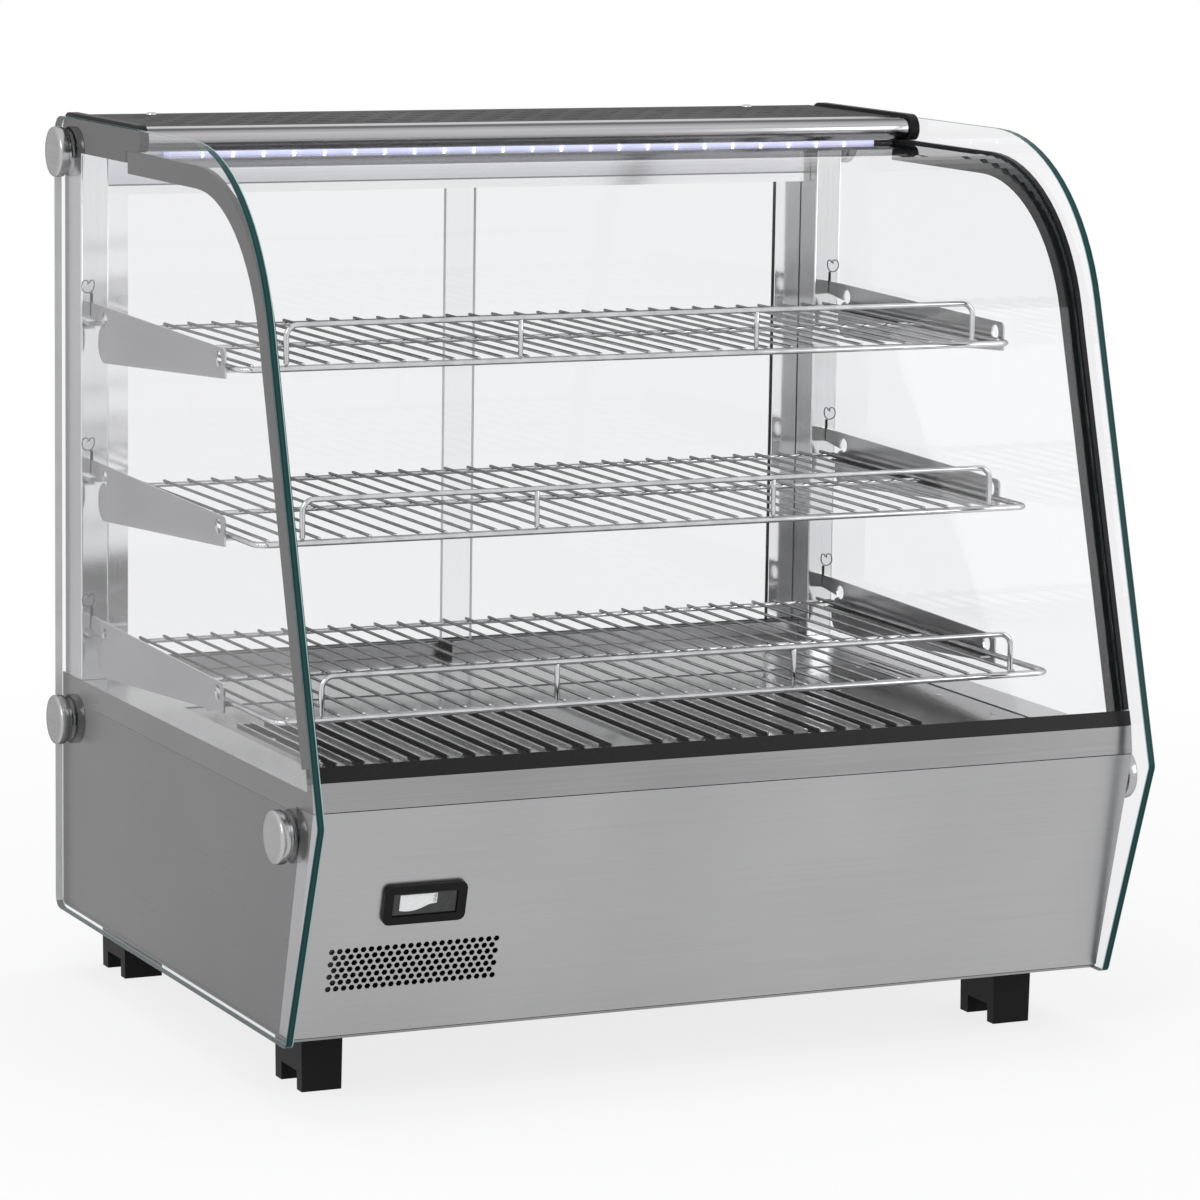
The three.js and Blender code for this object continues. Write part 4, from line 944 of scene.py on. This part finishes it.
studio = {
    "floorDark": (0.86, 0.86, 0.86),
    "floorLight": (0.88, 0.88, 0.88),
    "floorGrain": 2.0,
    "shadeNear": 0.45,      # metres from the middle where the floor is least white
    "shadeFar": 1.6,
    "nearWhite": 0.8,
    "far": 12.0,
    "fill": 0.55,
    "fillColour": (0.95, 0.97, 1.0, 1),
    "backdrop": (1, 1, 1, 1),
    "lamps": {
        "lampLeft": ((-2.6, -1.8, 2.4), (1.8, 1.8), 36),
        "lampRight": ((2.35, -2.35, 1.2), (1.5, 1.3), 20),
        "lampTop": ((0, 0.3, 2.8), (2.4, 2.0), 30),
    },
    "aim": (0, 0, 0.3),
}


# White share grows with distance, so the floor keeps its shadow near the object and fades to white far off
def addFloor():
    made, tree = newMaterial("floor")
    plain = addNode(tree, "ShaderNodeBsdfDiffuse")
    join(tree, twoTone(tree, noise(tree, studio["floorGrain"]), studio["floorDark"], studio["floorLight"]),
         plain.inputs["Color"])
    white = addNode(tree, "ShaderNodeEmission", in_Color=studio["backdrop"])
    span = addNode(tree, "ShaderNodeVectorMath", operation="LENGTH")
    part = addNode(tree, "ShaderNodeMath", operation="MULTIPLY")
    mix = addNode(tree, "ShaderNodeMixShader")
    join(tree, objectPoint(tree), span.inputs[0])
    share = spread(tree, span.outputs["Value"], studio["nearWhite"], 1.0, studio["shadeNear"], studio["shadeFar"])
    join(tree, seenRays(tree), part.inputs[0], share, part.inputs[1], part.outputs[0], mix.inputs[0],
         plain.outputs[0], mix.inputs[1], white.outputs[0], mix.inputs[2])
    finishTree(tree, mix.outputs[0])
    data = bpy.data.meshes.new("floor")
    far = studio["far"]
    data.from_pydata([(-far, -far, 0), (far, -far, 0), (far, far, 0), (-far, far, 0)], [], [(0, 1, 2, 3)])
    data.materials.append(made)
    item = bpy.data.objects.new("floor", data)
    bpy.context.collection.objects.link(item)


def addWorld():
    world = bpy.data.worlds.new("studio")
    world.use_nodes = True
    tree = world.node_tree
    tree.nodes.clear()
    lit = addNode(tree, "ShaderNodeBackground", in_Color=studio["fillColour"], in_Strength=studio["fill"])
    seen = addNode(tree, "ShaderNodeBackground", in_Color=studio["backdrop"])
    mix = addNode(tree, "ShaderNodeMixShader")
    out = addNode(tree, "ShaderNodeOutputWorld")
    join(tree, seenRays(tree), mix.inputs[0], lit.outputs[0], mix.inputs[1], seen.outputs[0], mix.inputs[2],
         mix.outputs[0], out.inputs["Surface"])
    bpy.context.scene.world = world


def addLamp(name, place, size, power):
    data = bpy.data.lights.new(name, "AREA")
    data.shape = "RECTANGLE"
    data.size, data.size_y = size
    data.energy = power
    item = bpy.data.objects.new(name, data)
    item.location = place
    item.rotation_euler = (Vector(studio["aim"]) - Vector(place)).to_track_quat("-Z", "Y").to_euler()
    item.visible_glossy = name != "lampTop"     # it would show as a white patch on the glass crown
    bpy.context.collection.objects.link(item)


addFloor()
addWorld()
for name, (place, size, power) in studio["lamps"].items():
    addLamp(name, place, size, power)
print("studio made")
